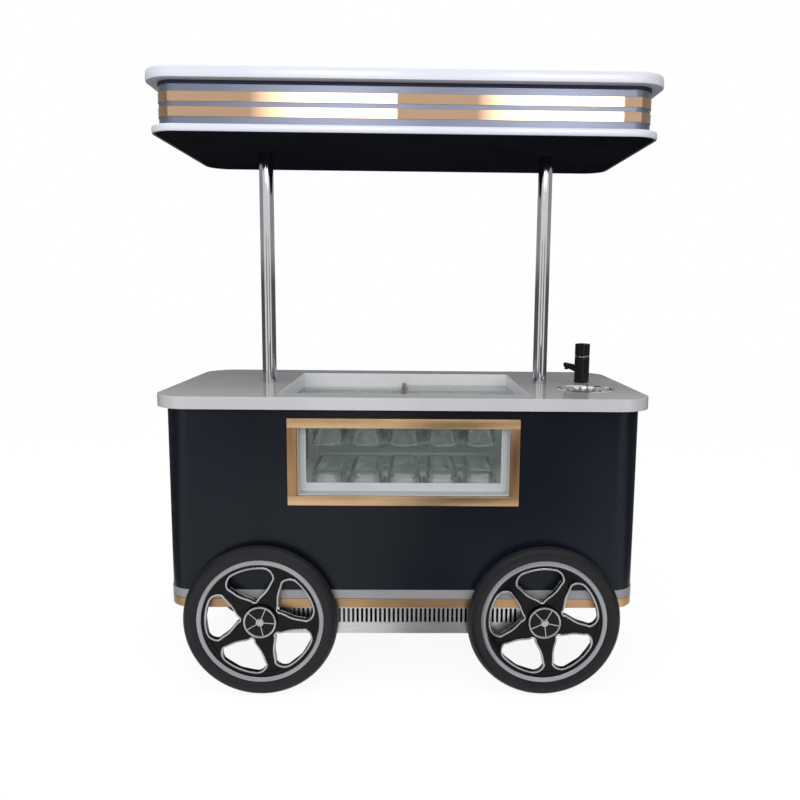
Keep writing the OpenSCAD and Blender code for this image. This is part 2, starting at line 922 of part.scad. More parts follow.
// Lids: the right one slides on the upper track, the left one on the lower track
module lid(side) {
    z = side > 0 ? upper_lid_z : lower_lid_z;
    inset = collar_t + slide_gap + (side > 0 ? 0 : upper_ledge);
    color("#cfe0e0", 0.4) on_side(side)
        span([-lid_overlap / 2, well_front + inset, z],
             [lid_l - lid_overlap / 2, well_back - inset, z + lid_t]);
}

module lid_strip(side) {
    z = lid_t + (side > 0 ? upper_lid_z : lower_lid_z);
    h = side > 0 ? upper_strip_h : lower_strip_h;
    inset = collar_t + upper_ledge + 4;
    color("#2a2a2e") on_side(side)
        span([-lid_overlap / 2, well_front + inset, z],
             [lid_strip_w - lid_overlap / 2, well_back - inset, z + h]);
}

// Cold tank
module tank_liner() {
    color("#e8ecec") difference() {
        span([-well_l / 2, tank_front, tank_under], [well_l / 2, well_back, collar_z]);
        span([-tank_l / 2, tank_front + tank_t, tank_floor],
             [tank_l / 2, well_back - tank_t, collar_z + cut]);
        window_opening(tank_front - cut, tank_front + tank_t + cut, glass_seat);
        line_holes();
    }
}

module line_holes() {
    translate([suction_x, suction_y, foam_z - cut])
        cylinder(d = line_d + 2 * line_clear, h = tank_floor - foam_z + 2 * cut);
    translate([liquid_x, liquid_y, foam_z - cut])
        cylinder(d = line_d + 2 * line_clear, h = tank_floor - foam_z + 2 * cut);
}

module tank_insulation() {
    color("#e6d9a8") difference() {
        span([-partition_x, -inner_d / 2, foam_z], [partition_x, inner_d / 2, skin_z]);
        span([-well_l / 2, tank_front, tank_under], [well_l / 2, well_back, collar_z + cut]);
        span([-well_l / 2, well_front, collar_z], [well_l / 2, well_back, counter_top]);
        window_opening(body_front, tank_front + cut, 0);
        line_holes();
    }
}

module rack_bar_x(y, w) {
    span([-rack_x - rack_bar_w, y, rack_top - rack_bar_h], [rack_x + rack_bar_w, y + w, rack_top]);
}

module pan_rack() {
    outer = row_gap + pan_l - pan_rim + rack_gap;
    middle = row_gap + pan_rim - rack_gap;
    color("silver") translate([0, tank_y, 0]) {
        rack_bar_x(-outer - rack_bar_w, rack_bar_w);
        rack_bar_x(-middle, 2 * middle);
        rack_bar_x(outer, rack_bar_w);
        both_sides() {
            span([rack_x, -outer - rack_bar_w, rack_top - rack_bar_h],
                 [rack_x + rack_bar_w, outer + rack_bar_w, rack_top]);
            for (y = [-outer - rack_bar_w, outer])
                span([rack_x, y, tank_floor], [rack_x + rack_bar_w, y + rack_bar_w, rack_top]);
        }
    }
}

// One open pan; its rim is at z and its middle at the given place. The lower row stands bottom up.
module pan(x, y, z, h) {
    body_half_w = pan_w / 2 - pan_rim;
    body_half_l = pan_l / 2 - pan_rim;
    translate([x, y, z]) difference() {
        union() {
            span([-pan_w / 2, -pan_l / 2, -pan_rim_t], [pan_w / 2, pan_l / 2, 0]);
            span([-body_half_w, -body_half_l, -h], [body_half_w, body_half_l, 0]);
        }
        span([pan_wall - body_half_w, pan_wall - body_half_l, pan_wall - h],
             [body_half_w - pan_wall, body_half_l - pan_wall, cut]);
    }
}

module pans() {
    color("#c8d2d2", 0.5) for (i = [0:pan_count - 1]) {
        x = (i - (pan_count - 1) / 2) * pan_pitch;
        pan(x, tank_y - row_y, pan_top, pan_upper_h);
        pan(x, tank_y + row_y, pan_top, pan_upper_h);
        translate([x, tank_y - row_y, tank_floor]) mirror([0, 0, 1]) pan(0, 0, 0, pan_lower_h);
    }
}

module evaporator() {
    color("lightgray") translate([0, evaporator_y, tank_floor]) difference() {
        span([-evaporator_l / 2, 0, 0], [evaporator_l / 2, evaporator_d, evaporator_h]);
        for (x = [-evaporator_l / 2 + fin_pitch:fin_pitch:evaporator_l / 2 - fin_pitch])
            span([x - fin_cut / 2, -cut, evaporator_h / 3],
                 [x + fin_cut / 2, evaporator_d + cut, evaporator_h + cut]);
    }
}

// Window
module window_trim() {
    y0 = body_front - trim_t;
    color("#c89b5a") {
        span([-trim_l / 2, y0, trim_z], [trim_l / 2, body_front, open_z]);
        span([-trim_l / 2, y0, open_z + open_h], [trim_l / 2, body_front, trim_z + trim_h]);
        both_sides() span([open_l / 2, y0, open_z], [trim_l / 2, body_front, open_z + open_h]);
    }
}

module window_liner() {
    color("white") difference() {
        window_opening(body_front, glass_y, 0);
        window_opening(body_front - cut, sash_y, liner_t);
        span([sash_w - open_l / 2, sash_y - cut, open_z + sash_h],
             [open_l / 2 - sash_w, glass_y + cut, open_z + open_h - liner_t]);
    }
}

module window_glass() {
    color("#cfe0e0", 0.4) window_opening(glass_y, tank_front, 0);
}

// Machine room
module compressor() {
    straight = compressor_h - compressor_foot_t - compressor_dome;
    color("#26262a") translate([compressor_x, compressor_y, tray_top]) {
        span([-compressor_foot_l / 2, -compressor_foot_d / 2, 0],
             [compressor_foot_l / 2, compressor_foot_d / 2, compressor_foot_t]);
        rotate_extrude() polygon([
            [0, compressor_foot_t - cut], [compressor_d / 2, compressor_foot_t - cut],
            [compressor_d / 2, compressor_foot_t + straight],
            [compressor_d / 2 - compressor_dome / 2, compressor_h], [0, compressor_h]
        ]);
    }
}

module condenser() {
    shroud_y = condenser_y + condenser_d;
    color("silver") {
        span([-condenser_l / 2, condenser_y, tray_top], [condenser_l / 2, shroud_y, tray_top + condenser_h]);
        difference() {
            union() {
                span([-condenser_l / 2, shroud_y, tray_top],
                     [condenser_l / 2, shroud_y + shroud_t, tray_top + condenser_h]);
                facing_back([0, shroud_y, fan_z])
                    cylinder(d = fan_d + 2 * (shroud_gap + shroud_ring_t), h = shroud_ring_h);
            }
            facing_back([0, shroud_y - cut, fan_z])
                cylinder(d = fan_d + 2 * shroud_gap, h = shroud_ring_h + 2 * cut);
        }
        span([-motor_foot_w / 2, motor_y, tray_top], [motor_foot_w / 2, motor_y + motor_l, fan_z]);
        facing_back([0, motor_y, fan_z]) cylinder(d = motor_d, h = motor_l);
        facing_front([0, motor_y + cut, fan_z]) cylinder(d = motor_shaft_d, h = motor_y - fan_y + cut);
    }
}

module condenser_fan() {
    color("#303034") facing_back([0, fan_y, fan_z]) difference() {
        union() {
            cylinder(d = fan_hub_d, h = fan_hub_h);
            for (i = [0:blade_count - 1]) rotate(i * 360 / blade_count)
                translate([fan_hub_d / 2 - 3, 0, fan_hub_h / 2]) rotate([blade_tilt, 0, 0])
                    translate([0, -blade_w / 4, -blade_t / 2])
                        cube([fan_d / 2 - fan_hub_d / 2 - 4, blade_w / 2, blade_t]);
        }
        translate([0, 0, -cut]) cylinder(d = motor_shaft_d + 2 * run_clear, h = fan_hub_h + 2 * cut);
    }
}

// A pipe through the given corners, with a round fitting at each bend
module pipe(points) {
    for (i = [0:len(points) - 2]) {
        step = points[i + 1] - points[i];
        translate(points[i]) rotate([0, acos(step[2] / norm(step)), atan2(step[1], step[0])])
            cylinder(d = line_d, h = norm(step));
    }
    for (i = [1:1:len(points) - 2]) translate(points[i]) sphere(d = elbow_d);
}

module refrigerant_lines() {
    side_x = condenser_l / 2;
    middle_y = condenser_y + condenser_d / 2;
    line_low = tray_top + condenser_h - 20;
    color("#b87333") {
        pipe([[suction_x, suction_y, compressor_top], [suction_x, suction_y, tank_floor]]);
        pipe([
            [discharge_x, discharge_y, compressor_top], [discharge_x, discharge_y, line_z],
            [discharge_x, middle_y, line_z], [discharge_x, middle_y, line_low], [side_x, middle_y, line_low]
        ]);
        pipe([
            [-side_x, middle_y, line_low], [liquid_x, middle_y, line_low], [liquid_x, liquid_y, line_low],
            [liquid_x, liquid_y, tank_floor]
        ]);
    }
}

// Posts
module posts() {
    color("silver") for (side = [left, right]) translate([side * post_x, 0, post_bottom]) difference() {
        cylinder(d = post_d, h = post_top - post_bottom);
        translate([0, 0, -cut]) cylinder(d = post_d - 2 * post_wall, h = post_top - post_bottom + 2 * cut);
    }
}

module post_fittings() {
    color("gray") for (side = [left, right]) translate([side * post_x, 0, 0]) {
        difference() {
            union() {
                translate([0, 0, floor_top]) cylinder(d = socket_flange_d, h = socket_base_t);
                translate([0, 0, floor_top]) cylinder(d = post_d + 2 * socket_wall, h = socket_h);
            }
            translate([0, 0, post_bottom]) cylinder(d = post_d + 2 * run_clear, h = socket_h);
        }
        translate([0, 0, ceiling_z + sheet_t]) difference() {
            union() {
                cylinder(d = bracket_flange_d, h = socket_base_t);
                cylinder(d = post_d + 2 * socket_wall, h = bracket_h);
            }
            translate([0, 0, -cut]) cylinder(d = post_d + 2 * run_clear, h = bracket_h + 2 * cut);
        }
    }
}

// Canopy
// Each slab is a sheet with an edge frame glued to it
module canopy_ceiling() {
    color("#d8d8e0") {
        difference() {
            translate([0, 0, ceiling_z]) rounded_block(ceiling_l, ceiling_d, sheet_t, ceiling_r);
            for (side = [left, right])
                translate([side * post_x, 0, ceiling_z - cut])
                    cylinder(d = post_d + 2 * post_clear, h = ceiling_t);
        }
        translate([0, 0, ceiling_z + sheet_t + glue_t])
            rounded_ring(ceiling_l, ceiling_d, ceiling_t - sheet_t - glue_t, ceiling_r,
                         (ceiling_l - attic_l) / 2);
    }
}

module canopy_fascia() {
    color("silver") translate([0, 0, fascia_z])
        rounded_ring(fascia_l, fascia_d, fascia_h, fascia_r, fascia_t);
}

module canopy_stripes() {
    color("#c89b5a") for (i = [0, 1])
        translate([0, 0, fascia_z + stripe_z + i * (stripe_h + stripe_gap)])
            rounded_ring(fascia_l + 2 * stripe_proud, fascia_d + 2 * stripe_proud, stripe_h,
                         fascia_r + stripe_proud, stripe_proud);
}

module canopy_roof() {
    color("#e8e8f0") {
        translate([0, 0, roof_z + roof_t - sheet_t]) rounded_block(roof_l, roof_d, sheet_t, roof_r);
        translate([0, 0, roof_z])
            rounded_ring(roof_l, roof_d, roof_t - sheet_t - glue_t, roof_r, (roof_l - attic_l) / 2);
    }
}

// Sink, tap and water
module sink_bowl() {
    inner_arc = arc([sink_r - sink_corner_r, sink_corner_r - sink_depth], sink_corner_r, 0, -90, 8);
    outer_arc = arc([sink_r - sink_corner_r, sink_corner_r - sink_depth], sink_corner_r + sink_t, -90, 0, 8);
    color("silver") translate([sink_x, sink_y, counter_top]) rotate_extrude() polygon(concat(
        [[sink_rim_d / 2, 0], [sink_rim_d / 2, sink_rim_t], [sink_r, sink_rim_t]],
        inner_arc,
        [[drain_d / 2 - drain_wall, -sink_depth], [drain_d / 2 - drain_wall, -sink_depth - sink_t]],
        outer_arc,
        [[sink_r + sink_t, 0]]
    ));
}

module water_tank(y, mouth, mouth_d) {
    low = [water_tank_x, y, floor_top];
    high = low + [water_tank_l, water_tank_d, water_tank_h];
    wall = water_tank_wall * [1, 1, 1];
    difference() {
        span(low, high);
        span(low + wall, high - wall);
        translate([mouth[0], mouth[1], water_tank_top - 2 * water_tank_wall])
            cylinder(d = mouth_d, h = 4 * water_tank_wall);
    }
}

module water_tanks() {
    color("#dfe6ea") {
        water_tank(waste_y, [sink_x, sink_y], drain_d + 1);
        water_tank(fresh_y, [tap_x, tap_y], filler_d);
    }
}

module water_pipes() {
    drain_top = sink_bottom - sink_t;
    drain_bottom = water_tank_top - pipe_dip;
    shank_z = skin_z - 2 * locknut_t;
    color("#e0e0e0") {
        translate([sink_x, sink_y, 0]) difference() {
            union() {
                translate([0, 0, drain_bottom]) cylinder(d = drain_d, h = drain_top - drain_bottom);
                translate([0, 0, drain_top - 4]) cylinder(d = drain_flange_d, h = 4);
                translate([0, 0, water_tank_top]) cylinder(d = drain_flange_d, h = 4);
            }
            translate([0, 0, drain_bottom - cut])
                cylinder(d = drain_d - 2 * drain_wall, h = drain_top - drain_bottom + 2 * cut);
        }
        translate([tap_x, tap_y, 0]) {
            translate([0, 0, pump_z]) cylinder(d = pump_d, h = pump_h);
            translate([0, 0, pump_z + cut]) cylinder(d = riser_d, h = shank_z - pump_z);
            translate([0, 0, water_tank_top]) cylinder(d = filler_cap_d, h = filler_cap_t);
            translate([0, 0, shank_z]) cylinder(d = shank_d, h = tap_z + shank_h - shank_z);
            translate([0, 0, skin_z - locknut_t]) cylinder(d = locknut_d, h = locknut_t, $fn = 6);
        }
    }
}

// Tap: a square column with a short spout, a bright ring and a square turning head
module at_tap(z) {
    translate([tap_x, tap_y, z]) rotate(-tap_turn) children();
}

module square_bar(w, h) {
    translate([-w / 2, -w / 2, 0]) cube([w, w, h]);
}

module tap_body() {
    spout_end = tap_w / 2 + spout_l;
    nozzle_y = spout_end - nozzle_d / 2 - 2;
    color("#18181a") at_tap(tap_z) difference() {
        union() {
            square_bar(tap_w, tap_h);
            translate([-spout_w / 2, 0, 0]) rotate([90, 0, 90]) linear_extrude(spout_w)
                polygon([
                    [-tap_w / 2 + cut, spout_z], [-spout_end, spout_z + spout_rise],
                    [-spout_end, spout_z + spout_rise + spout_tip_h],
                    [-tap_w / 2 + cut, spout_z + spout_root_h]
                ]);
            translate([0, -nozzle_y, spout_z + 8]) cylinder(d = nozzle_d, h = spout_rise);
        }
        translate([0, 0, -cut]) cylinder(d = shank_d + 2 * run_clear, h = shank_h + cut + slide_gap);
    }
}

module tap_ring() {
    color("silver") at_tap(ring_z) square_bar(tap_w + 1, ring_h);
}

module tap_head() {
    color("#18181a") at_tap(head_z) difference() {
        square_bar(tap_w, head_h);
        translate([0, 0, head_h - 2]) square_bar(tap_w - 8, 4);
    }
}

// Back: doors, hinges, vent panel and controls
module door(side) {
    color("#14141c") on_side(side)
        span([door_edge - door_w, door_y, door_z], [door_edge, door_y + door_t, door_z + door_h]);
}

function hinge_zs() = [door_z + hinge_inset, door_z + door_h - hinge_inset - hinge_h];

module door_fittings(side) {
    leaf_z = knuckle_h + 0.3;
    leaf_h = hinge_h - 2 * leaf_z;
    handle_x = door_edge - door_w + handle_inset;
    handle_z = door_z + (door_h - handle_l) / 2;
    handle_y = door_y + door_t + handle_gap + handle_d / 2;
    color("silver") on_side(side) {
        for (z = hinge_zs()) difference() {
            union() {
                translate([hinge_x, hinge_y, z + leaf_z]) cylinder(d = knuckle_d, h = leaf_h);
                span([door_edge, door_y, z + leaf_z],
                     [door_edge + leaf_t, door_y + door_t, z + leaf_z + leaf_h]);
            }
            translate([hinge_x, hinge_y, z]) cylinder(d = hinge_pin_d + 2 * run_clear, h = hinge_h);
        }
        translate([handle_x, handle_y, handle_z]) cylinder(d = handle_d, h = handle_l);
        for (z = [handle_z + handle_d, handle_z + handle_l - handle_d])
            facing_back([handle_x, door_y + door_t, z])
                cylinder(d = handle_d - 2, h = handle_gap + handle_d / 2);
    }
}

module door_hinges() {
    web = knuckle_d / 2 - 1;
    color("silver") both_sides() for (z = hinge_zs()) translate([hinge_x, hinge_y, z]) {
        cylinder(d = hinge_pin_d, h = hinge_h);
        for (k = [0, hinge_h - knuckle_h]) translate([0, 0, k]) cylinder(d = knuckle_d, h = knuckle_h);
        for (k = [0, hinge_h - knuckle_h])
            span([0, body_back - hinge_y, k], [leaf_w, body_back - hinge_y + leaf_t, k + knuckle_h]);
        for (k = [0, hinge_h - knuckle_h]) span([0, body_back - hinge_y, k], [web, -leaf_t, k + knuckle_h]);
        span([knuckle_d / 2 + leaf_t, body_back - hinge_y, 0],
             [leaf_w, body_back - hinge_y + leaf_t, hinge_h]);
    }
}

module vent_panel() {
    row_z = back_panel_z + (back_panel_h - (louvre_count - 1) * louvre_pitch) / 2;
    color("silver") difference() {
        span([vent_x, body_back, back_panel_z],
             [vent_x + vent_l, body_back + back_panel_t, back_panel_z + back_panel_h]);
        for (i = [0:louvre_count - 1])
            translate([vent_x + 3 * panel_lap, body_back - cut, row_z + i * louvre_pitch - louvre_h / 2])
                cube([vent_l - 6 * panel_lap, back_panel_t + 2 * cut, louvre_h]);
    }
}

// A box round a middle point on the back panels, from one depth to another
module back_box(x, z, l, h, y0, y1) {
    span([x - l / 2, body_back + y0, z - h / 2], [x + l / 2, body_back + y1, z + h / 2]);
}

module control_panel() {
    hole_l = rocker_w + 2 * rocker_gap;
    hole_h = 2 * (rocker_half_h + rocker_gap);
    color("silver") {
        difference() {
            union() {
                span([control_x, body_back, back_panel_z],
                     [control_x + control_l, body_back + back_panel_t, back_panel_z + back_panel_h]);
                back_box(switch_x, control_row, hole_l + 2 * bezel_w, hole_h + 2 * bezel_w,
                         cut, back_panel_t + bezel_t);
                back_box(inlet_x, inlet_row, inlet_l, inlet_h, -inlet_depth, back_panel_t + bezel_t);
            }
            facing_back([knob_x, body_back - cut, control_row])
                cylinder(d = knob_shaft_d + 2 * run_clear, h = 2 * back_panel_t);
            back_box(switch_x, control_row, hole_l, hole_h, -cut, 2 * bezel_t + back_panel_t);
            back_box(inlet_x, inlet_row, inlet_l - 4 * inlet_wall, inlet_h - 2 * inlet_wall,
                     inlet_wall - inlet_depth, 2 * bezel_t + back_panel_t);
        }
        for (x = [-8, 0, 8])
            back_box(inlet_x + x, inlet_row, 2, 6, inlet_wall - inlet_depth, 0);
    }
}

module thermostat_knob() {
    color("#202024") facing_back([knob_x, body_back + back_panel_t + slide_gap, control_row]) difference() {
        union() {
            cylinder(d = knob_d, h = knob_h);
            translate([0, 0, -knob_shaft_l]) cylinder(d = knob_shaft_d, h = knob_shaft_l + cut);
        }
        span([-1.5, knob_d / 4, knob_h - 2], [1.5, knob_d, knob_h + cut]);
    }
}

module power_switch() {
    pivot_y = body_back + back_panel_t + bezel_t - 1;
    color("#b02020") translate([switch_x - rocker_w / 2, pivot_y, control_row]) rotate([90, 0, 90])
        linear_extrude(rocker_w) polygon([
            [0, -rocker_half_h], [3, -rocker_half_h], [4.5, 0], [3, rocker_half_h],
            [0, rocker_half_h], [-5, 4], [-5, -4]
        ]);
}

chassis();
stub_axles();
wheel(left);  // wheel_left
wheel(right);  // wheel_right
tyre(left);  // tyre_left
tyre(right);  // tyre_right
hub_cap(left);  // hub_cap_left
hub_cap(right);  // hub_cap_right
caster_plates();
caster_fork(left);  // caster_fork_left
caster_fork(right);  // caster_fork_right
caster_wheel(left);  // caster_wheel_left
caster_wheel(right);  // caster_wheel_right
caster_brake(left);  // caster_brake_left
caster_brake(right);  // caster_brake_right
body_shell();
silver_band();
gold_band();
vent_skirt();
machine_tray();
cabinet_panels();
counter();
well_collar();
lid(left);  // lid_left
lid(right);  // lid_right
lid_strip(left);  // lid_strip_left
lid_strip(right);  // lid_strip_right
tank_liner();
tank_insulation();
pan_rack();
pans();
evaporator();
window_trim();
window_liner();
window_glass();
compressor();
condenser();
condenser_fan();
refrigerant_lines();
posts();
post_fittings();
canopy_ceiling();
canopy_fascia();
canopy_stripes();
canopy_roof();
sink_bowl();
water_tanks();
water_pipes();
tap_body();
tap_ring();
tap_head();
door(left);  // door_left
door(right);  // door_right
door_fittings(left);  // door_fittings_left
door_fittings(right);  // door_fittings_right
door_hinges();
vent_panel();
control_panel();
thermostat_knob();
power_switch();
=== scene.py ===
import math

import bmesh
import bpy
from mathutils import Matrix, Vector


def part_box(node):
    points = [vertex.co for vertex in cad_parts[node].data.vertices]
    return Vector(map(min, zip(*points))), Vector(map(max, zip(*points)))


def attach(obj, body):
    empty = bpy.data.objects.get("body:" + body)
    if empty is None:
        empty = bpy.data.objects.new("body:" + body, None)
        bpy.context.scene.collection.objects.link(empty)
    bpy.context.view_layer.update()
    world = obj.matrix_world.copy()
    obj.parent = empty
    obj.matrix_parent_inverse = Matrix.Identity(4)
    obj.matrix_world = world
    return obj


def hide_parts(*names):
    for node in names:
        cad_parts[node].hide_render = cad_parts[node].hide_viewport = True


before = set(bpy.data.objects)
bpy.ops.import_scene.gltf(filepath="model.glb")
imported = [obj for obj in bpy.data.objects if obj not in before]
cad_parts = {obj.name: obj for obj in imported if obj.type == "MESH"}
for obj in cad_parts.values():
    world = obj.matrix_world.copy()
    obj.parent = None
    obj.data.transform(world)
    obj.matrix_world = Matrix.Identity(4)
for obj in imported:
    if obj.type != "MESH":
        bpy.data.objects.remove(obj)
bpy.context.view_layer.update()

# Camera: it stands in front of the cart, a little below the canopy, and looks slightly down at it.
# The lens is as long as the picture is wide, and a small sideways shift frames the cart.
EYE = Vector((0.0201, -2.9050, 1.3356))
YAW, PITCH, ROLL = (math.radians(a) for a in (-1.04, 7.95, -0.55))
SIDE_SHIFT = -0.0309

ahead = Vector((-math.sin(YAW) * math.cos(PITCH), math.cos(YAW) * math.cos(PITCH), -math.sin(PITCH)))
level = Vector((math.cos(YAW), math.sin(YAW), 0.0))
down = ahead.cross(level)
right = math.cos(ROLL) * level + math.sin(ROLL) * down
down = math.cos(ROLL) * down - math.sin(ROLL) * level
camera_data = bpy.data.cameras.new("front_camera")
camera_data.sensor_width = 36.0
camera_data.lens = 36.0
camera_data.shift_x = SIDE_SHIFT
camera = bpy.data.objects.new("front_camera", camera_data)
camera.matrix_world = Matrix.Translation(EYE) @ Matrix((right, -down, -ahead)).transposed().to_4x4()
bpy.context.scene.collection.objects.link(camera)
bpy.context.scene.camera = camera

# Studio: a pale floor, a white surround and soft boxes. The floor and the surround show as white
# to the camera and in metal and glass, and the floor still takes the cart's soft shadow.
# Grey boards at the sides and the back give chrome and lacquer their dark edges.
SURROUND_LIGHT = 0.60
FLOOR_HALF = 14.0
FLOOR_GLOW = 0.87
FLOOR_COLOUR = (0.21, 0.21, 0.213, 1.0)
BOARD_DARK, BOARD_PALE = 0.12, 0.40
BOARD_FADE = (1.36, 1.62)


def seen_directly(tree):
    """One where a ray comes from the camera, a mirror or glass, and nought for soft light."""
    path = tree.nodes.new("ShaderNodeLightPath")
    either = tree.nodes.new("ShaderNodeMath")
    either.operation = "MAXIMUM"
    tree.links.new(path.outputs["Is Camera Ray"], either.inputs[0])
    tree.links.new(path.outputs["Is Glossy Ray"], either.inputs[1])
    any_of = tree.nodes.new("ShaderNodeMath")
    any_of.operation = "MAXIMUM"
    tree.links.new(either.outputs[0], any_of.inputs[0])
    tree.links.new(path.outputs["Is Transmission Ray"], any_of.inputs[1])
    return any_of.outputs[0]


scene = bpy.context.scene
scene.view_settings.view_transform = "Standard"
surround = bpy.data.worlds.new("white_surround")
surround.use_nodes = True
sky = surround.node_tree
sky.nodes.clear()
soft = sky.nodes.new("ShaderNodeBackground")
soft.inputs["Color"].default_value = (0.97, 0.98, 1.0, 1.0)
soft.inputs["Strength"].default_value = SURROUND_LIGHT
white = sky.nodes.new("ShaderNodeBackground")
white.inputs["Color"].default_value = (1.0, 1.0, 1.0, 1.0)
white.inputs["Strength"].default_value = 1.0
choose = sky.nodes.new("ShaderNodeMixShader")
sky.links.new(seen_directly(sky), choose.inputs["Fac"])
sky.links.new(soft.outputs[0], choose.inputs[1])
sky.links.new(white.outputs[0], choose.inputs[2])
sky.links.new(choose.outputs[0], sky.nodes.new("ShaderNodeOutputWorld").inputs["Surface"])
scene.world = surround


def stage_sheet(name, corners, material):
    """A flat sheet of the studio, which isn't part of the cart."""
    mesh = bpy.data.meshes.new(name)
    mesh.from_pydata(corners, [], [(0, 1, 2, 3)])
    mesh.materials.append(material)
    sheet = bpy.data.objects.new(name, mesh)
    scene.collection.objects.link(sheet)
    return sheet


floor_paint = bpy.data.materials.new("studio_floor_paint")
floor_paint.use_nodes = True
paint = floor_paint.node_tree
paint.nodes.clear()
matt = paint.nodes.new("ShaderNodeBsdfDiffuse")
matt.inputs["Color"].default_value = FLOOR_COLOUR
glow = paint.nodes.new("ShaderNodeEmission")
glow_level = paint.nodes.new("ShaderNodeMath")
glow_level.operation = "MULTIPLY"
glow_level.inputs[1].default_value = FLOOR_GLOW
paint.links.new(seen_directly(paint), glow_level.inputs[0])
paint.links.new(glow_level.outputs[0], glow.inputs["Strength"])
both = paint.nodes.new("ShaderNodeAddShader")
paint.links.new(matt.outputs[0], both.inputs[0])
paint.links.new(glow.outputs[0], both.inputs[1])
paint.links.new(both.outputs[0], paint.nodes.new("ShaderNodeOutputMaterial").inputs["Surface"])
stage_sheet("studio_floor",
            [(x * FLOOR_HALF, y * FLOOR_HALF, 0.0) for x, y in ((-1, -1), (1, -1), (1, 1), (-1, 1))],
            floor_paint)

board_grey = bpy.data.materials.new("grey_board")
board_grey.use_nodes = True
board_tree = board_grey.node_tree
board_tree.nodes.clear()
board_face = board_tree.nodes.new("ShaderNodeEmission")
board_place = board_tree.nodes.new("ShaderNodeTexCoord")
board_height = board_tree.nodes.new("ShaderNodeSeparateXYZ")
board_tree.links.new(board_place.outputs["Object"], board_height.inputs[0])
board_level = board_tree.nodes.new("ShaderNodeMapRange")
board_span = BOARD_FADE + (BOARD_DARK, BOARD_PALE)
for socket, value in zip(("From Min", "From Max", "To Min", "To Max"), board_span):
    board_level.inputs[socket].default_value = value
board_tree.links.new(board_height.outputs["Z"], board_level.inputs["Value"])
board_tree.links.new(board_level.outputs["Result"], board_face.inputs["Strength"])
board_tree.links.new(board_face.outputs[0],
                     board_tree.nodes.new("ShaderNodeOutputMaterial").inputs["Surface"])


def seen_in_gloss_only(sheet):
    """Hides a sheet from all but mirrors and gloss."""
    sheet.visible_camera = False
    sheet.visible_diffuse = False
    sheet.visible_shadow = False
    sheet.visible_transmission = False


BOARDS = {"board_back": ((-3.4, 3.4), (3.4, 3.4), 3.0), "board_left": ((-3.4, -2.4), (-3.4, 3.4), 3.0),
          "board_right": ((3.4, 3.4), (3.4, -2.4), 3.0),
          "board_front_left": ((-1.7, -3.7), (-0.7, -3.7), 1.75),
          "board_front_right": ((1.1, -3.7), (2.2, -3.7), 1.75),
          "board_near_left": ((-1.5, -0.6), (-1.5, 1.6), 1.1),
          "board_near_right": ((1.5, 1.6), (1.5, -0.6), 1.1)}
for name, ((x0, y0), (x1, y1), top) in BOARDS.items():
    board = stage_sheet(name, [(x0, y0, 0.02), (x1, y1, 0.02), (x1, y1, top), (x0, y0, top)], board_grey)
    seen_in_gloss_only(board)

FLAGS = {"flag_trim": [(0.06, -1.9, 0.01), (1.0, -1.9, 0.01), (1.0, -2.7, 0.95), (0.06, -2.7, 0.95)],
         "flag_foot": [(-0.04, -1.7, 0.01), (0.30, -1.7, 0.01), (0.30, -0.5, 0.01), (-0.04, -0.5, 0.01)]}
for name, corners in FLAGS.items():
    seen_in_gloss_only(stage_sheet(name, corners, board_grey))

CARD_LIGHT = 6.0
for name, x0, x1, fade in (("card_left", -1.10, -0.081, 0.39), ("card_right", 0.47, 1.50, 0.27)):
    card_glow = bpy.data.materials.new(f"{name}_glow")
    card_glow.use_nodes = True
    card_tree = card_glow.node_tree
    card_tree.nodes.clear()
    card_face = card_tree.nodes.new("ShaderNodeEmission")
    card_place = card_tree.nodes.new("ShaderNodeTexCoord")
    card_along = card_tree.nodes.new("ShaderNodeSeparateXYZ")
    card_tree.links.new(card_place.outputs["Generated"], card_along.inputs[0])
    card_level = card_tree.nodes.new("ShaderNodeMapRange")
    card_level.inputs["From Max"].default_value = fade
    card_level.inputs["To Min"].default_value = 1.0
    card_level.inputs["To Max"].default_value = CARD_LIGHT
    card_tree.links.new(card_along.outputs["X"], card_level.inputs["Value"])
    card_tree.links.new(card_level.outputs["Result"], card_face.inputs["Strength"])
    card_tree.links.new(card_face.outputs[0],
                        card_tree.nodes.new("ShaderNodeOutputMaterial").inputs["Surface"])
    card_corners = [(x0, -3.05, 2.1), (x1, -3.05, 2.1), (x1, -3.05, 2.85), (x0, -3.05, 2.85)]
    seen_in_gloss_only(stage_sheet(name, card_corners, card_glow))


def soft_box(name, place, aim, size, power):
    lamp = bpy.data.lights.new(name, "AREA")
    lamp.shape = "RECTANGLE"
    lamp.size, lamp.size_y = size
    lamp.energy = power
    box = bpy.data.objects.new(name, lamp)
    box.location = place
    box.rotation_euler = (Vector(aim) - Vector(place)).to_track_quat("-Z", "Y").to_euler()
    box.visible_glossy = False
    scene.collection.objects.link(box)


soft_box("soft_box_top", (0.0, -0.6, 4.2), (0.0, 0.0, 1.0), (3.0, 2.0), 18.0)
soft_box("soft_box_front", (-0.3, -4.2, 1.9), (0.0, 0.0, 1.1), (4.5, 2.0), 100.0)

# Chassis and axles: welded steel channel under the body with caster pads, powder-coated dark grey.
# Turned stub axles on blocks are bolted under the front rail.
def chip(r, g, b):
    """The light that a paint chip of these 0 to 255 screen values gives back."""
    return tuple((c / 255 / 12.92) if c <= 10 else ((c / 255 + 0.055) / 1.055) ** 2.4 for c in (r, g, b))


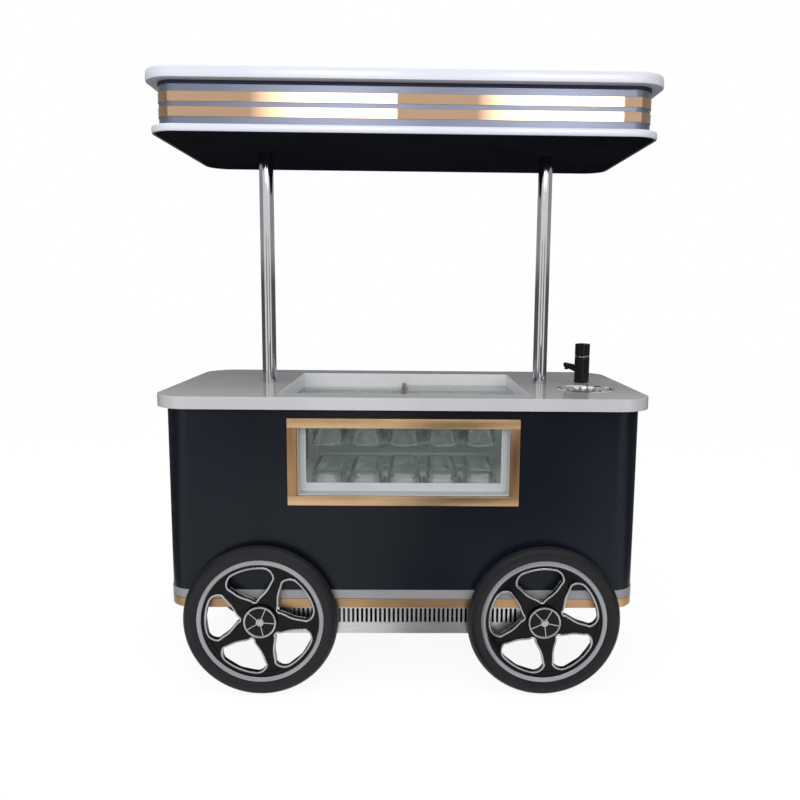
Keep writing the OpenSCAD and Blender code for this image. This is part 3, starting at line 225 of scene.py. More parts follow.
def finish(name, colour, metal=0.0, rough=0.4, spread=0.08, vary=0.10, cloud=4.0, grain=260.0,
           stretch=(1.0, 1.0, 1.0), relief=0.05, dust=0.0, dust_colour=(0.45, 0.44, 0.42),
           scuff=0.0, coat=0.0, shine=0.5):
    """A surface whose colour drifts in clouds and whose gloss and relief follow a fine grain. On some
    finishes the wide slow clouds are painted light and shade.
    """
    material = bpy.data.materials.new(name)
    material.use_nodes = True
    tree = material.node_tree
    shader = tree.nodes["Principled BSDF"]

    def node(kind, **sockets):
        made = tree.nodes.new(kind)
        for socket, value in sockets.items():
            made.inputs[socket.replace("_", " ")].default_value = value
        return made

    def span(source, low, high, least, most):
        made = node("ShaderNodeMapRange", From_Min=low, From_Max=high, To_Min=least, To_Max=most)
        tree.links.new(source, made.inputs["Value"])
        return made.outputs["Result"]

    def mixed(share, under, over):
        made = tree.nodes.new("ShaderNodeMix")
        made.data_type = "RGBA"
        tree.links.new(share, made.inputs[0])
        for socket, value in ((6, under), (7, over)):
            if isinstance(value, tuple):
                made.inputs[socket].default_value = tuple(min(1.0, c) for c in value) + (1.0,)
            else:
                tree.links.new(value, made.inputs[socket])
        return made.outputs[2]

    coords = tree.nodes.new("ShaderNodeTexCoord")
    drawn = node("ShaderNodeMapping", Scale=stretch)
    tree.links.new(coords.outputs["Object"], drawn.inputs["Vector"])
    clouds = node("ShaderNodeTexNoise", Scale=cloud, Detail=3.0, Roughness=0.55)
    tree.links.new(coords.outputs["Object"], clouds.inputs["Vector"])
    fine = node("ShaderNodeTexNoise", Scale=grain, Detail=2.0, Roughness=0.6)
    tree.links.new(drawn.outputs["Vector"], fine.inputs["Vector"])
    blend = tree.nodes.new("ShaderNodeMath")
    blend.operation = "MULTIPLY_ADD"
    blend.inputs[1].default_value = 0.35
    tree.links.new(fine.outputs["Fac"], blend.inputs[0])
    tree.links.new(span(clouds.outputs["Fac"], 0.0, 1.0, 0.0, 0.65), blend.inputs[2])
    shown = mixed(span(blend.outputs[0], 0.32, 0.68, 0.0, 1.0), tuple(c * (1 - vary) for c in colour),
                  tuple(c * (1 + vary) for c in colour))
    gloss = span(blend.outputs[0], 0.3, 0.7, max(0.0, rough - spread), min(1.0, rough + spread))
    if dust:
        specks = node("ShaderNodeTexNoise", Scale=28.0, Detail=8.0, Roughness=0.7)
        tree.links.new(coords.outputs["Object"], specks.inputs["Vector"])
        shown = mixed(span(specks.outputs["Fac"], 0.55, 0.80, 0.0, dust), shown, dust_colour)
    if scuff:
        lines = node("ShaderNodeTexVoronoi", Scale=7.0)
        lines.feature = "DISTANCE_TO_EDGE"
        tree.links.new(coords.outputs["Object"], lines.inputs["Vector"])
        rubbed = tree.nodes.new("ShaderNodeMath")
        rubbed.operation = "MULTIPLY"
        tree.links.new(span(lines.outputs["Distance"], 0.0, 0.006, scuff, 0.0), rubbed.inputs[0])
        tree.links.new(span(clouds.outputs["Fac"], 0.45, 0.65, 0.0, 1.0), rubbed.inputs[1])
        shown = mixed(rubbed.outputs[0], shown, tuple(0.3 + 0.5 * c for c in colour))
    tree.links.new(shown, shader.inputs["Base Color"])
    tree.links.new(gloss, shader.inputs["Roughness"])
    bump = node("ShaderNodeBump", Strength=relief, Distance=0.001)
    tree.links.new(fine.outputs["Fac"], bump.inputs["Height"])
    tree.links.new(bump.outputs["Normal"], shader.inputs["Normal"])
    shader.inputs["Metallic"].default_value = metal
    shader.inputs["Coat Weight"].default_value = coat
    shader.inputs["Specular IOR Level"].default_value = shine
    return material


def dress(material, *nodes, ease=0.0):
    """Gives CAD nodes a finish, and a small round on their edges where one is asked for."""
    for name in nodes:
        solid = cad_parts[name]
        solid.data.materials.clear()
        solid.data.materials.append(material)
        if ease:
            seams = solid.modifiers.new("closed seams", "WELD")
            seams.merge_threshold = 0.00002
            flats = solid.modifiers.new("plain flats", "DECIMATE")
            flats.decimate_type = "DISSOLVE"
            flats.angle_limit = math.radians(0.3)
            edges = solid.modifiers.new("eased edges", "BEVEL")
            edges.width = ease
            edges.segments = 2
            edges.limit_method = "ANGLE"
            edges.angle_limit = math.radians(40)
            shade = solid.modifiers.new("even shading", "WEIGHTED_NORMAL")
            shade.weight = 80


chassis_coat = finish("chassis_powder_coat", chip(48, 48, 52), rough=0.5, relief=0.25, grain=900.0,
                      dust=0.25)
turned_steel = finish("turned_steel", chip(190, 192, 196), metal=1.0, rough=0.24, stretch=(1, 40, 1),
                      grain=60.0)
dress(chassis_coat, "chassis", ease=0.0012)
dress(turned_steel, "stub_axles", ease=0.0008)

# Casters: zinc-plated pressed forks swivel under bolted plates at the back of the cart.
# Each carries a grey rubber wheel on a bolt, and a red foot pedal that presses its pad on the tread.
zinc = finish("caster_zinc", chip(180, 182, 184), metal=1.0, rough=0.34, cloud=30.0, vary=0.16,
              grain=400.0, dust=0.15)
caster_rubber = finish("caster_rubber", chip(58, 58, 60), rough=0.62, relief=0.3, grain=700.0, dust=0.35)
pedal_paint = finish("pedal_paint", chip(150, 30, 26), rough=0.38, relief=0.12, grain=500.0, dust=0.2,
                     scuff=0.5)
dress(zinc, "caster_plates", "caster_fork_left", "caster_fork_right", ease=0.0008)
dress(pedal_paint, "caster_brake_left", "caster_brake_right", ease=0.0008)


def middle_of(node):
    low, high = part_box(node)
    return (low + high) / 2


def add_rings(form, rings, around=False, caps=True):
    """Skins a row of equal rings of points; around joins the last to the first, caps close the ends."""
    rows = [[form.verts.new(p) for p in ring] for ring in rings]
    count = len(rows[0])
    pairs = list(zip(rows, rows[1:])) + ([(rows[-1], rows[0])] if around else [])
    for low, high in pairs:
        for i in range(count):
            j = (i + 1) % count
            form.faces.new((low[i], low[j], high[j], high[i]))
    if caps and not around:
        form.faces.new(rows[0][::-1])
        form.faces.new(rows[-1])


def add_spun(form, profile, place, steps=96, around=True, caps=False):
    """Turns a profile of (radius, offset) points; place gives the point at a radius, offset and angle."""
    rings = [[place(r, w, math.tau * k / steps) for k in range(steps)] for r, w in profile]
    add_rings(form, rings, around=around, caps=caps)


def make(name, form, material, body, slot, *stands_for, crease=30.0):
    """Turns a built form into a piece of the cart that rides on its body."""
    bmesh.ops.remove_doubles(form, verts=form.verts, dist=1e-6)
    bmesh.ops.recalc_face_normals(form, faces=form.faces)
    mesh = bpy.data.meshes.new(name)
    form.to_mesh(mesh)
    form.free()
    mesh.shade_smooth()
    mesh.set_sharp_from_angle(angle=math.radians(crease))
    mesh.materials.append(material)
    made = bpy.data.objects.new(name, mesh)
    scene.collection.objects.link(made)
    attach(made, body)
    if stands_for:
        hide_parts(*stands_for)
    return made


def on_axle(centre):
    """Places turned points round an axle that runs front to back, with offsets towards the front."""
    return lambda r, w, a: (centre[0] + r * math.cos(a), centre[1] - w, centre[2] + r * math.sin(a))


half_caster = [(0.0052, 0.027), (0.020, 0.027), (0.022, 0.0255), (0.0225, 0.0125), (0.028, 0.0112),
               (0.070, 0.0112), (0.077, 0.0125), (0.084, 0.0190), (0.0865, 0.0205), (0.0868, 0.0218),
               (0.092, 0.0224), (0.0965, 0.0212), (0.0988, 0.0182), (0.0998, 0.0130), (0.0998, 0.0080),
               (0.0984, 0.0072), (0.0984, 0.0058), (0.1, 0.005)]
for side in ("left", "right"):
    roller = bmesh.new()
    add_spun(roller, half_caster + [(r, -w) for r, w in reversed(half_caster)],
             on_axle(middle_of(f"caster_wheel_{side}")))
    make(f"caster_roller_{side}", roller, caster_rubber, f"caster_roller_{side}", "caster_rubber",
         f"caster_wheel_{side}")

# Front wheels: black painted castings with five broad spokes and a bright rolled line round each gap,
# in a bright rim that carries a smooth black tyre. A bright-ringed cap with five ribs covers the axle nut.
FIRST_GAP = {"left": 103.0, "right": 97.0}
GAPS = 5
HUB_R = 0.053
APEX_D, APEX_R = 0.0740, 0.0078
CORNER_D, CORNER_R, CORNER_TURN = 0.1445, 0.033, math.radians(17)
SIDE_BOW = 0.0045
SPOKE_HALF, SPOKE_HOLLOW = 0.0065, 0.0022
wheel_black = finish("wheel_black_paint", chip(13, 13, 15), rough=0.26, spread=0.06, cloud=9.0, vary=0.25,
                     relief=0.06, dust=0.02, scuff=0.06, shine=0.16)
wheel_bright = finish("wheel_bright_line", chip(176, 177, 180), metal=1.0, rough=0.26, cloud=14.0,
                      vary=0.16, grain=500.0)
rim_satin = finish("wheel_rim_satin", chip(158, 159, 163), metal=1.0, rough=0.34, cloud=7.0, vary=0.2,
                   grain=400.0)
tyre_rubber = finish("tyre_rubber", chip(24, 24, 27), rough=0.40, relief=0.25, grain=800.0, cloud=12.0,
                     vary=0.2, dust=0.10, dust_colour=(0.08, 0.08, 0.08), shine=0.28)
cap_black = finish("hub_cap_black", chip(15, 15, 18), rough=0.3, relief=0.08, cloud=20.0, vary=0.3,
                   shine=0.2)


def arc(centre, r, start, end, steps):
    return [(centre[0] + r * math.cos(start + (end - start) * k / steps),
             centre[1] + r * math.sin(start + (end - start) * k / steps)) for k in range(steps + 1)]


def bowed(start, end, bow):
    """Points between two ends of a gap's side, which bows out into the spoke."""
    along = (end[0] - start[0], end[1] - start[1])
    length = math.hypot(*along)
    out = (along[1] / length * bow, -along[0] / length * bow)
    shares = [(k / 12, math.sin(math.pi * k / 12) ** 2) for k in range(1, 12)]
    return [(start[0] + along[0] * t + out[0] * b, start[1] + along[1] * t + out[1] * b) for t, b in shares]


def gap_line(grow):
    """The outline of one gap that points along +X, moved out by grow: rim, corner, hub end, corner."""
    corner = (CORNER_D * math.cos(CORNER_TURN), CORNER_D * math.sin(CORNER_TURN))
    top_r = CORNER_D + CORNER_R
    away = (corner[0] - APEX_D, corner[1])
    tangent = math.atan2(away[1], away[0]) + math.acos((CORNER_R - APEX_R) / math.hypot(*away))
    upper = arc(corner, CORNER_R + grow, CORNER_TURN, tangent, 10)
    hub_end = arc((APEX_D, 0), APEX_R + grow, tangent, math.tau - tangent, 8)
    lower = arc((corner[0], -corner[1]), CORNER_R + grow, -tangent, -CORNER_TURN, 10)
    return (arc((0, 0), top_r + grow, -CORNER_TURN, CORNER_TURN, 10)[:-1] + upper
            + bowed(upper[-1], hub_end[0], SIDE_BOW) + hub_end + bowed(hub_end[-1], lower[0], SIDE_BOW)
            + lower[:-1])


def gap_half_angle(r):
    """Half the angle that a gap takes up at this radius, from its outline."""
    if r < APEX_D - APEX_R + 0.0002 or r > CORNER_D + CORNER_R - 0.0002:
        return 0.0
    edge = [p for p in gap_line(0.0) if p[1] >= 0]
    best = 0.0
    for (x0, y0), (x1, y1) in zip(edge, edge[1:]):
        r0, r1 = math.hypot(x0, y0), math.hypot(x1, y1)
        if (r0 - r) * (r1 - r) <= 0 and abs(r1 - r0) > 1e-9:
            t = (r - r0) / (r1 - r0)
            best = max(best, math.atan2(y0 + (y1 - y0) * t, x0 + (x1 - x0) * t))
    return best


GAP_LOW, GAP_HIGH = APEX_D - APEX_R, CORNER_D + CORNER_R
ease_in = [0.0003, 0.0008, 0.0018, 0.0035, 0.006, 0.010]
spoke_rows = ([0.050, 0.058, 0.064, GAP_LOW] + [GAP_LOW + e for e in ease_in]
              + [GAP_LOW + 0.010 + (GAP_HIGH - GAP_LOW - 0.020) * k / 12 for k in range(1, 12)]
              + [GAP_HIGH - e for e in reversed(ease_in)] + [GAP_HIGH, 0.1845])
spoke_columns = [-1.0, -0.94, -0.8, -0.55, -0.25, 0.0, 0.25, 0.55, 0.8, 0.94, 1.0]


def spoke_rise(r):
    """How far a spoke's face stands out towards its middle length."""
    return SPOKE_HALF + 0.004 * math.sin(math.pi * min(1.0, max(0.0, (r - 0.05) / 0.134)))


def spoke_face(form, place, first, facing):
    """One face of the spokes: a hollowed surface out to the gaps, and its edge rows for the walls."""
    walls = []
    for s in range(GAPS):
        middle = first + math.pi / GAPS + math.tau * s / GAPS
        grid = []
        for r in spoke_rows:
            half = math.pi / GAPS - gap_half_angle(r)
            fade = min(1.0, gap_half_angle(r) / 0.12)
            row = []
            for t in spoke_columns:
                offset = spoke_rise(r) - SPOKE_HOLLOW * fade * (1 - t ** 2)
                row.append(form.verts.new(place(r, facing * offset, middle + half * t)))
            grid.append(row)
        for low, high in zip(grid, grid[1:]):
            for i in range(len(spoke_columns) - 1):
                form.faces.new((low[i], low[i + 1], high[i + 1], high[i]))
        walls.append([[row[0] for row in grid], [row[-1] for row in grid]])
    return walls


def add_tube(form, path, across, normal_of):
    """A closed bead along a path of points; across is its half width and half height."""
    rings = []
    for k, p in enumerate(path):
        ahead_p, behind_p = Vector(path[(k + 1) % len(path)]), Vector(path[k - 1])
        along = (ahead_p - behind_p).normalized()
        out = normal_of(p)
        side_way = along.cross(out).normalized()
        rings.append([Vector(p) + side_way * across[0] * math.cos(a) + out * across[1] * math.sin(a)
                      for a in (math.tau * i / 10 for i in range(10))])
    add_rings(form, rings, around=True)


tyre_half = [(0.2142, 0.0122), (0.2092, 0.0126), (0.2086, 0.0138), (0.2094, 0.0150), (0.2130, 0.0166),
             (0.2200, 0.0184), (0.2250, 0.0199), (0.2300, 0.0205), (0.2345, 0.0203), (0.2378, 0.0194),
             (0.2392, 0.0186), (0.2399, 0.0193), (0.2412, 0.0196), (0.2424, 0.0190), (0.2429, 0.0176),
             (0.2446, 0.0164), (0.2482, 0.0128), (0.2504, 0.0096), (0.2508, 0.0082), (0.2500, 0.0076),
             (0.2503, 0.0060), (0.2521, 0.0054), (0.2528, 0.0022), (0.2520, 0.0016), (0.2520, 0.0006)]
rim_profile = [(0.1800, 0.0056), (0.1836, 0.0062), (0.1880, 0.0070), (0.1905, 0.0074), (0.1912, 0.0080),
               (0.1920, 0.0138), (0.1940, 0.0158), (0.2000, 0.0167), (0.2058, 0.0163), (0.2079, 0.0145),
               (0.2083, 0.0120), (0.2139, 0.0118)]
BLACK_RIM_R = 0.1908
for side in ("left", "right"):
    place = on_axle(middle_of(f"tyre_{side}"))
    first = math.radians(FIRST_GAP[side])
    body = f"front_wheel_{side}"
    spider = bmesh.new()
    front_walls = spoke_face(spider, place, first, 1.0)
    back_walls = spoke_face(spider, place, first, -1.0)
    for front_pair, back_pair in zip(front_walls, back_walls):
        for front_edge, back_edge in zip(front_pair, back_pair):
            for k in range(len(spoke_rows) - 1):
                if gap_half_angle(spoke_rows[k]) > 0 or gap_half_angle(spoke_rows[k + 1]) > 0:
                    spider.faces.new((front_edge[k], front_edge[k + 1], back_edge[k + 1], back_edge[k]))
    add_spun(spider,
             [(0.0101, 0.017), (0.020, 0.017), (0.044, 0.0168), (HUB_R, 0.0150), (HUB_R + 0.002, 0.0100),
              (HUB_R + 0.002, -0.0100), (HUB_R, -0.0150), (0.040, -0.017), (0.0101, -0.017)], place)
    black_rim = [p for p in rim_profile if p[0] < BLACK_RIM_R]
    add_spun(spider, black_rim + [(BLACK_RIM_R, 0.0076), (BLACK_RIM_R, -0.0076)]
             + [(r, -w) for r, w in reversed(black_rim)], place)
    make(f"wheel_casting_{side}", spider, wheel_black, body, "wheel_casting", f"wheel_{side}")
    bright_rim = [p for p in rim_profile if p[0] > BLACK_RIM_R]
    rim = bmesh.new()
    add_spun(rim, bright_rim + [(r, -w) for r, w in reversed(bright_rim)], place, steps=128)
    make(f"wheel_rim_{side}", rim, rim_satin, body, "silver_metal")
    lines = bmesh.new()
    for g in range(GAPS):
        turn = first + math.tau * g / GAPS
        for facing in (1.0, -1.0):
            path = []
            for x, y in gap_line(0.0024):
                r = math.hypot(x, y)
                path.append(place(r, facing * (spoke_rise(r) + 0.0004), turn + math.atan2(y, x)))
            add_tube(lines, path, (0.0033, 0.0026), lambda p: Vector((0.0, -1.0, 0.0)))
    make(f"wheel_gap_lines_{side}", lines, wheel_bright, body, "silver_metal")
    tyre = bmesh.new()
    add_spun(tyre, tyre_half + [(r, -w) for r, w in reversed(tyre_half)], place, steps=144)
    make(f"tyre_{side}_rubber", tyre, tyre_rubber, body, "tyre", f"tyre_{side}", crease=28)
    cap_plate = bmesh.new()
    add_spun(cap_plate,
             [(0.0, 0.0172), (0.047, 0.0172), (0.047, 0.0182), (0.016, 0.0186), (0.013, 0.0192),
              (0.0, 0.0192)], place, around=False)
    make(f"hub_cap_plate_{side}", cap_plate, cap_black, body, "silver_metal")
    cap_ring = bmesh.new()
    add_spun(cap_ring,
             [(0.0465, 0.0172), (0.0530, 0.0170), (0.0538, 0.0184), (0.0530, 0.0200), (0.0505, 0.0208),
              (0.0480, 0.0200), (0.0468, 0.0186)], place)
    for g in range(GAPS):
        turn = first + math.pi / GAPS + math.tau * g / GAPS
        section = ((-0.0022, 0.0178), (0.0022, 0.0178), (0.0014, 0.0200), (-0.0014, 0.0200))
        ribs = [[place(math.hypot(r, c), w, turn + math.atan2(c, r)) for c, w in section]
                for r in (0.010, 0.030, 0.0475)]
        add_rings(cap_ring, ribs)
    add_spun(cap_ring,
             [(0.0, 0.0180), (0.0125, 0.0180), (0.0130, 0.0192), (0.0095, 0.0204), (0.0060, 0.0207),
              (0.0, 0.0208)], place, steps=30, around=False)
    make(f"hub_cap_ring_{side}", cap_ring, wheel_bright, body, "silver_metal", f"hub_cap_{side}")

# Body: a dark lacquered shell with rounded corners. A brushed gold band and a satin silver band
# are bonded round its foot, and a slotted stainless skirt hides the machine tray between the wheels.
BODY_R = 0.080
body_low, body_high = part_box("body_shell")
BODY_L, BODY_D = body_high.x - body_low.x, body_high.y - body_low.y
# The lacquer's wide slow clouds, lighter and darker in broad patches over the shell and doors, are painted
# light and shade.
body_lacquer = finish("dark_navy_lacquer", chip(14, 20, 29), rough=0.30, spread=0.05, cloud=1.3,
                      vary=0.45, relief=0.03, grain=420.0, dust=0.02, dust_colour=(0.08, 0.08, 0.09),
                      scuff=0.02, shine=0.22)
# On the window bars, this gold's wide slow clouds, lighter and darker in broad patches, are painted light
# and shade.
gold_brushed = finish("gold_brushed", chip(206, 170, 128), metal=1.0, rough=0.32, spread=0.08, cloud=2.4,
                      vary=0.30, stretch=(0.6, 0.6, 70.0), grain=22.0, relief=0.10)
# The foot band's wide slow clouds, lighter and darker along the band, are painted light and shade.
gold_foot = finish("gold_brushed_foot", chip(182, 146, 106), metal=1.0, rough=0.36, spread=0.08,
                   cloud=1.9, vary=0.55, stretch=(0.6, 0.6, 70.0), grain=22.0, relief=0.10)
silver_satin = finish("silver_satin", chip(158, 160, 164), metal=0.4, rough=0.42, spread=0.06, cloud=3.0,
                      vary=0.10, stretch=(0.6, 0.6, 60.0), grain=20.0, relief=0.06)
steel_brushed = finish("stainless_brushed", chip(158, 158, 158), metal=1.0, rough=0.30, spread=0.08,
                       cloud=3.2, vary=0.26, stretch=(0.5, 0.5, 90.0), grain=18.0, relief=0.10, dust=0.06)
dress(body_lacquer, "body_shell")
# The skirt's wide slow clouds, lighter and darker across the slotted sheet, are painted light and shade.
skirt_steel = finish("skirt_stainless", chip(198, 198, 197), metal=1.0, rough=0.30, spread=0.08,
                     cloud=1.5, vary=0.55, stretch=(0.5, 0.5, 90.0), grain=18.0, relief=0.10, dust=0.06)
dress(skirt_steel, "vent_skirt", ease=0.0005)
dress(steel_brushed, "machine_tray", ease=0.0005)


def rounded_outline(l, d, r, steps=14):
    """Points round a rectangle with round corners."""
    corners = ((l / 2 - r, d / 2 - r, 0.0), (r - l / 2, d / 2 - r, 0.5), (r - l / 2, r - d / 2, 1.0),
               (l / 2 - r, r - d / 2, 1.5))
    return [p for x, y, turn in corners
            for p in arc((x, y), r, math.pi * turn, math.pi * (turn + 0.5), steps)]


def add_rim(form, l, d, r, profile, around=True, caps=False):
    """Skins a profile of (inset, height) points round a rounded rectangle."""
    add_rings(form,
              [[(x, y, z) for x, y in rounded_outline(l - 2 * i, d - 2 * i, r - i)] for i, z in profile],
              around=around, caps=caps)


for name, material, slot in (("gold_band", gold_foot, "gold_metal"),
                             ("silver_band", silver_satin, "silver_metal")):
    low, high = (corner.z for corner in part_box(name))
    band = bmesh.new()
    add_rim(band, BODY_L, BODY_D, BODY_R,
            [(0.0005, low + 0.0002), (-0.0012, low + 0.0002), (-0.0020, low + 0.0009),
             (-0.0020, high - 0.0009), (-0.0012, high - 0.0002), (0.0005, high - 0.0002)])
    make(f"{name}_strip", band, material, "cart", slot, name)

# Cabinets and back: white floors and partitions stand in both ends of the shell, behind hinged doors.
# Between the doors are a louvred vent panel and a control panel of brushed steel.
white_plastic = finish("white_plastic", chip(234, 235, 237), rough=0.32, spread=0.06, cloud=6.0,
                       vary=0.04, relief=0.04)
black_plastic = finish("black_plastic", chip(26, 26, 28), rough=0.34, spread=0.08, cloud=24.0, vary=0.25,
                       relief=0.10, grain=700.0)
switch_red = finish("switch_red", chip(168, 24, 20), rough=0.25, relief=0.04, cloud=60.0)
dress(white_plastic, "cabinet_panels", ease=0.0006)
dress(body_lacquer, "door_left", "door_right", ease=0.0025)
dress(steel_brushed, "door_fittings_left", "door_fittings_right", "door_hinges", ease=0.0006)
dress(steel_brushed, "vent_panel", "control_panel", ease=0.0006)
dress(black_plastic, "thermostat_knob", ease=0.0012)
dress(switch_red, "power_switch", ease=0.0006)

# Cold tank: a stainless liner in rigid foam, with a rack that carries two rows of clear gelato pans.
# A lower row of spare pans stands bottom up on its floor, in front of the finned evaporator.
PAN_L, PAN_W, PAN_PITCH, ROW_Y = 0.290, 0.126, 0.130, 0.147
UPPER_H, LOWER_H = 0.118, 0.083
TANK_FLOOR, PAN_TOP = (corner.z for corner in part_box("pans"))
foam = finish("rigid_foam", chip(226, 214, 170), rough=0.85, cloud=20.0, vary=0.12, relief=0.5, grain=500.0)
fins = finish("aluminium_fins", chip(206, 211, 208), metal=0.2, rough=0.5, stretch=(60.0, 1.0, 1.0),
              grain=30.0, relief=0.2)
# The liner's near-white, barely metallic finish is painted light: it brightens the inside of the tank.
tank_steel_painted_light = finish("tank_steel_painted_light", chip(228, 233, 230), metal=0.1, rough=0.36, cloud=7.0, vary=0.08,
                    relief=0.06)


def clear_finish(name, tint, rough, haze):
    """Clear sheet that turns milky where it is seen edge on, with smears in its gloss."""
    material = finish(name, tint, rough=rough, spread=rough * 0.6, cloud=9.0, vary=0.05, relief=0.01)
    tree = material.node_tree
    slant = tree.nodes.new("ShaderNodeLayerWeight")
    slant.inputs["Blend"].default_value = 0.35
    body_share = tree.nodes.new("ShaderNodeMapRange")
    body_share.inputs["To Min"].default_value = haze[0]
    body_share.inputs["To Max"].default_value = haze[1]
    tree.links.new(slant.outputs["Facing"], body_share.inputs["Value"])
    tree.links.new(body_share.outputs["Result"], tree.nodes["Principled BSDF"].inputs["Alpha"])
    return material


def bending_finish(name, tint, rough):
    """Clear moulded plastic that bends what is seen through it; lamps shine straight through it."""
    material = finish(name, tint, rough=rough, spread=rough * 0.5, cloud=9.0, vary=0.04, relief=0.01)
    tree = material.node_tree
    shader = tree.nodes["Principled BSDF"]
    shader.inputs["Transmission Weight"].default_value = 1.0
    shader.inputs["IOR"].default_value = 1.45
    path = tree.nodes.new("ShaderNodeLightPath")
    let_through = tree.nodes.new("ShaderNodeBsdfTransparent")
    let_through.inputs["Color"].default_value = (0.95, 0.97, 0.96, 1.0)
    lit = tree.nodes.new("ShaderNodeMixShader")
    tree.links.new(path.outputs["Is Shadow Ray"], lit.inputs["Fac"])
    tree.links.new(shader.outputs[0], lit.inputs[1])
    tree.links.new(let_through.outputs[0], lit.inputs[2])
    tree.links.new(lit.outputs[0], tree.nodes["Material Output"].inputs["Surface"])
    return material


pan_clear = bending_finish("clear_pan_plastic", chip(240, 247, 243), 0.05)
dress(foam, "tank_insulation")
dress(tank_steel_painted_light, "tank_liner")
dress(steel_brushed, "pan_rack", ease=0.0008)
coil_low, coil_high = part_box("evaporator")
coil = bmesh.new()
FIN_PITCH, FIN_HALF = 0.006, 0.0007
fin_count = int((coil_high.x - coil_low.x) / FIN_PITCH)
for k in range(fin_count + 1):
    fin_x = coil_low.x + 0.001 + (coil_high.x - coil_low.x - 0.002) * k / fin_count
    add_rings(coil, [[(fin_x + w, y, z) for y, z in ((coil_low.y, coil_low.z), (coil_high.y, coil_low.z),
                                                     (coil_high.y, coil_high.z), (coil_low.y, coil_high.z))]
                     for w in (-FIN_HALF, FIN_HALF)])
for row in range(3):
    for column in range(4):
        pipe_y = coil_low.y + (coil_high.y - coil_low.y) * (column + 0.5) / 4
        pipe_z = coil_low.z + (coil_high.z - coil_low.z) * (row + 0.5) / 3
        ends = [[(x, pipe_y + 0.006 * math.cos(a), pipe_z + 0.006 * math.sin(a))
                 for a in (math.tau * i / 12 for i in range(12))] for x in (coil_low.x, coil_high.x)]
        add_rings(coil, ends)
make("evaporator_coil", coil, fins, "cart", "silver_metal", "evaporator")


def add_pan(form, x, y, lip, deep, way):
    """A tub with a turned-out lip and round corners; way is -1 for a pan that hangs from its lip."""
    outside = [(0.026, deep), (0.018, deep - 0.0010), (0.0125, deep - 0.0055), (0.0105, deep - 0.014),
               (0.0085, 0.004), (0.0080, 0.0034), (0.0008, 0.0034), (0.0, 0.0024), (0.0, 0.0008),
               (0.0008, 0.0)]
    inside = [(0.0098, 0.0), (0.0112, 0.0012), (0.0136, deep - 0.015), (0.0160, deep - 0.0085),
              (0.0215, deep - 0.0042), (0.030, deep - 0.0032)]
    rings = []
    for inset, z in outside + inside:
        outline = rounded_outline(PAN_W - 2 * inset, PAN_L - 2 * inset, 0.034 - inset * 0.6, steps=6)
        rings.append([(x + px, y + py, lip + way * z) for px, py in outline])
    add_rings(form, rings)


tubs = bmesh.new()
for k in range(5):
    pan_x = (k - 2) * PAN_PITCH
    add_pan(tubs, pan_x, -ROW_Y, PAN_TOP, UPPER_H, -1)
    add_pan(tubs, pan_x, ROW_Y, PAN_TOP, UPPER_H, -1)
    add_pan(tubs, pan_x, -ROW_Y, TANK_FLOOR, LOWER_H, 1)
make("gelato_pans", tubs, pan_clear, "cart", "pan_clear", "pans", crease=50)

# Machine room: a black hermetic compressor and a black-coated condenser with its fan stand on the tray.
# Copper lines join them to the evaporator above.
machine_black = finish("compressor_enamel", chip(30, 30, 32), rough=0.35, relief=0.12, dust=0.3)
# Its black coat also stands in for the shade seen through the skirt's slots, as painted shade.
coil_black = finish("condenser_fin_coat", chip(30, 30, 33), rough=0.5, relief=0.1, dust=0.12, shine=0.2)
copper = finish("copper_tube", chip(196, 128, 92), metal=1.0, rough=0.3, cloud=25.0, vary=0.2)
dress(machine_black, "compressor")
dress(coil_black, "condenser")
dress(black_plastic, "condenser_fan")
dress(copper, "refrigerant_lines")

# Window: four brushed gold bars, butted at the corners, frame a white moulded reveal.
# A sealed pane closes it at the back, against the tank.
TRIM_W = 0.031
trim_low, trim_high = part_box("window_trim")
glass = clear_finish("window_glass_pane", chip(196, 212, 206), 0.02, (0.04, 0.5))
liner_white = finish("window_liner_white", chip(198, 200, 202), rough=0.36, spread=0.06, cloud=5.0,
                     vary=0.06, relief=0.04)
dress(liner_white, "window_liner", ease=0.0012)
dress(glass, "window_glass", ease=0.0006)


def add_box(form, low, high, ease):
    """A block between two corners with rounded edges."""
    middle = (Vector(low) + Vector(high)) / 2
    size = Vector(high) - Vector(low)
    block = bmesh.ops.create_cube(form, size=1.0,
                                  matrix=Matrix.Translation(middle) @ Matrix.Diagonal((*size, 1.0)))
    edges = {e for v in block["verts"] for e in v.link_edges}
    bmesh.ops.bevel(form, geom=list(edges), offset=ease, segments=3, profile=0.5, affect="EDGES")


bars = bmesh.new()
trim_front, trim_back = trim_low.y, trim_high.y - 0.0002
for low_z, high_z in ((trim_low.z, trim_low.z + TRIM_W), (trim_high.z - TRIM_W, trim_high.z)):
    add_box(bars, (trim_low.x, trim_front, low_z), (trim_high.x, trim_back, high_z), 0.0012)
make("window_bars_level", bars, gold_brushed, "cart", "gold_metal")
# The uprights are a darker copy of the bars' gold: painted shade, for the way light falls on the standing
# bars.
gold_upright_shaded = finish("gold_brushed_upright_shaded", chip(160, 124, 87), metal=1.0, rough=0.34, spread=0.08,
                      cloud=2.4, vary=0.28, stretch=(70.0, 0.6, 0.6), grain=22.0, relief=0.10)
uprights = bmesh.new()
for low_x, high_x in ((trim_low.x, trim_low.x + TRIM_W), (trim_high.x - TRIM_W, trim_high.x)):
    add_box(uprights, (low_x, trim_front, trim_low.z + TRIM_W + 0.0003),
            (high_x, trim_back, trim_high.z - TRIM_W - 0.0003), 0.0012)
make("window_bars_upright", uprights, gold_upright_shaded, "cart", "gold_metal", "window_trim")

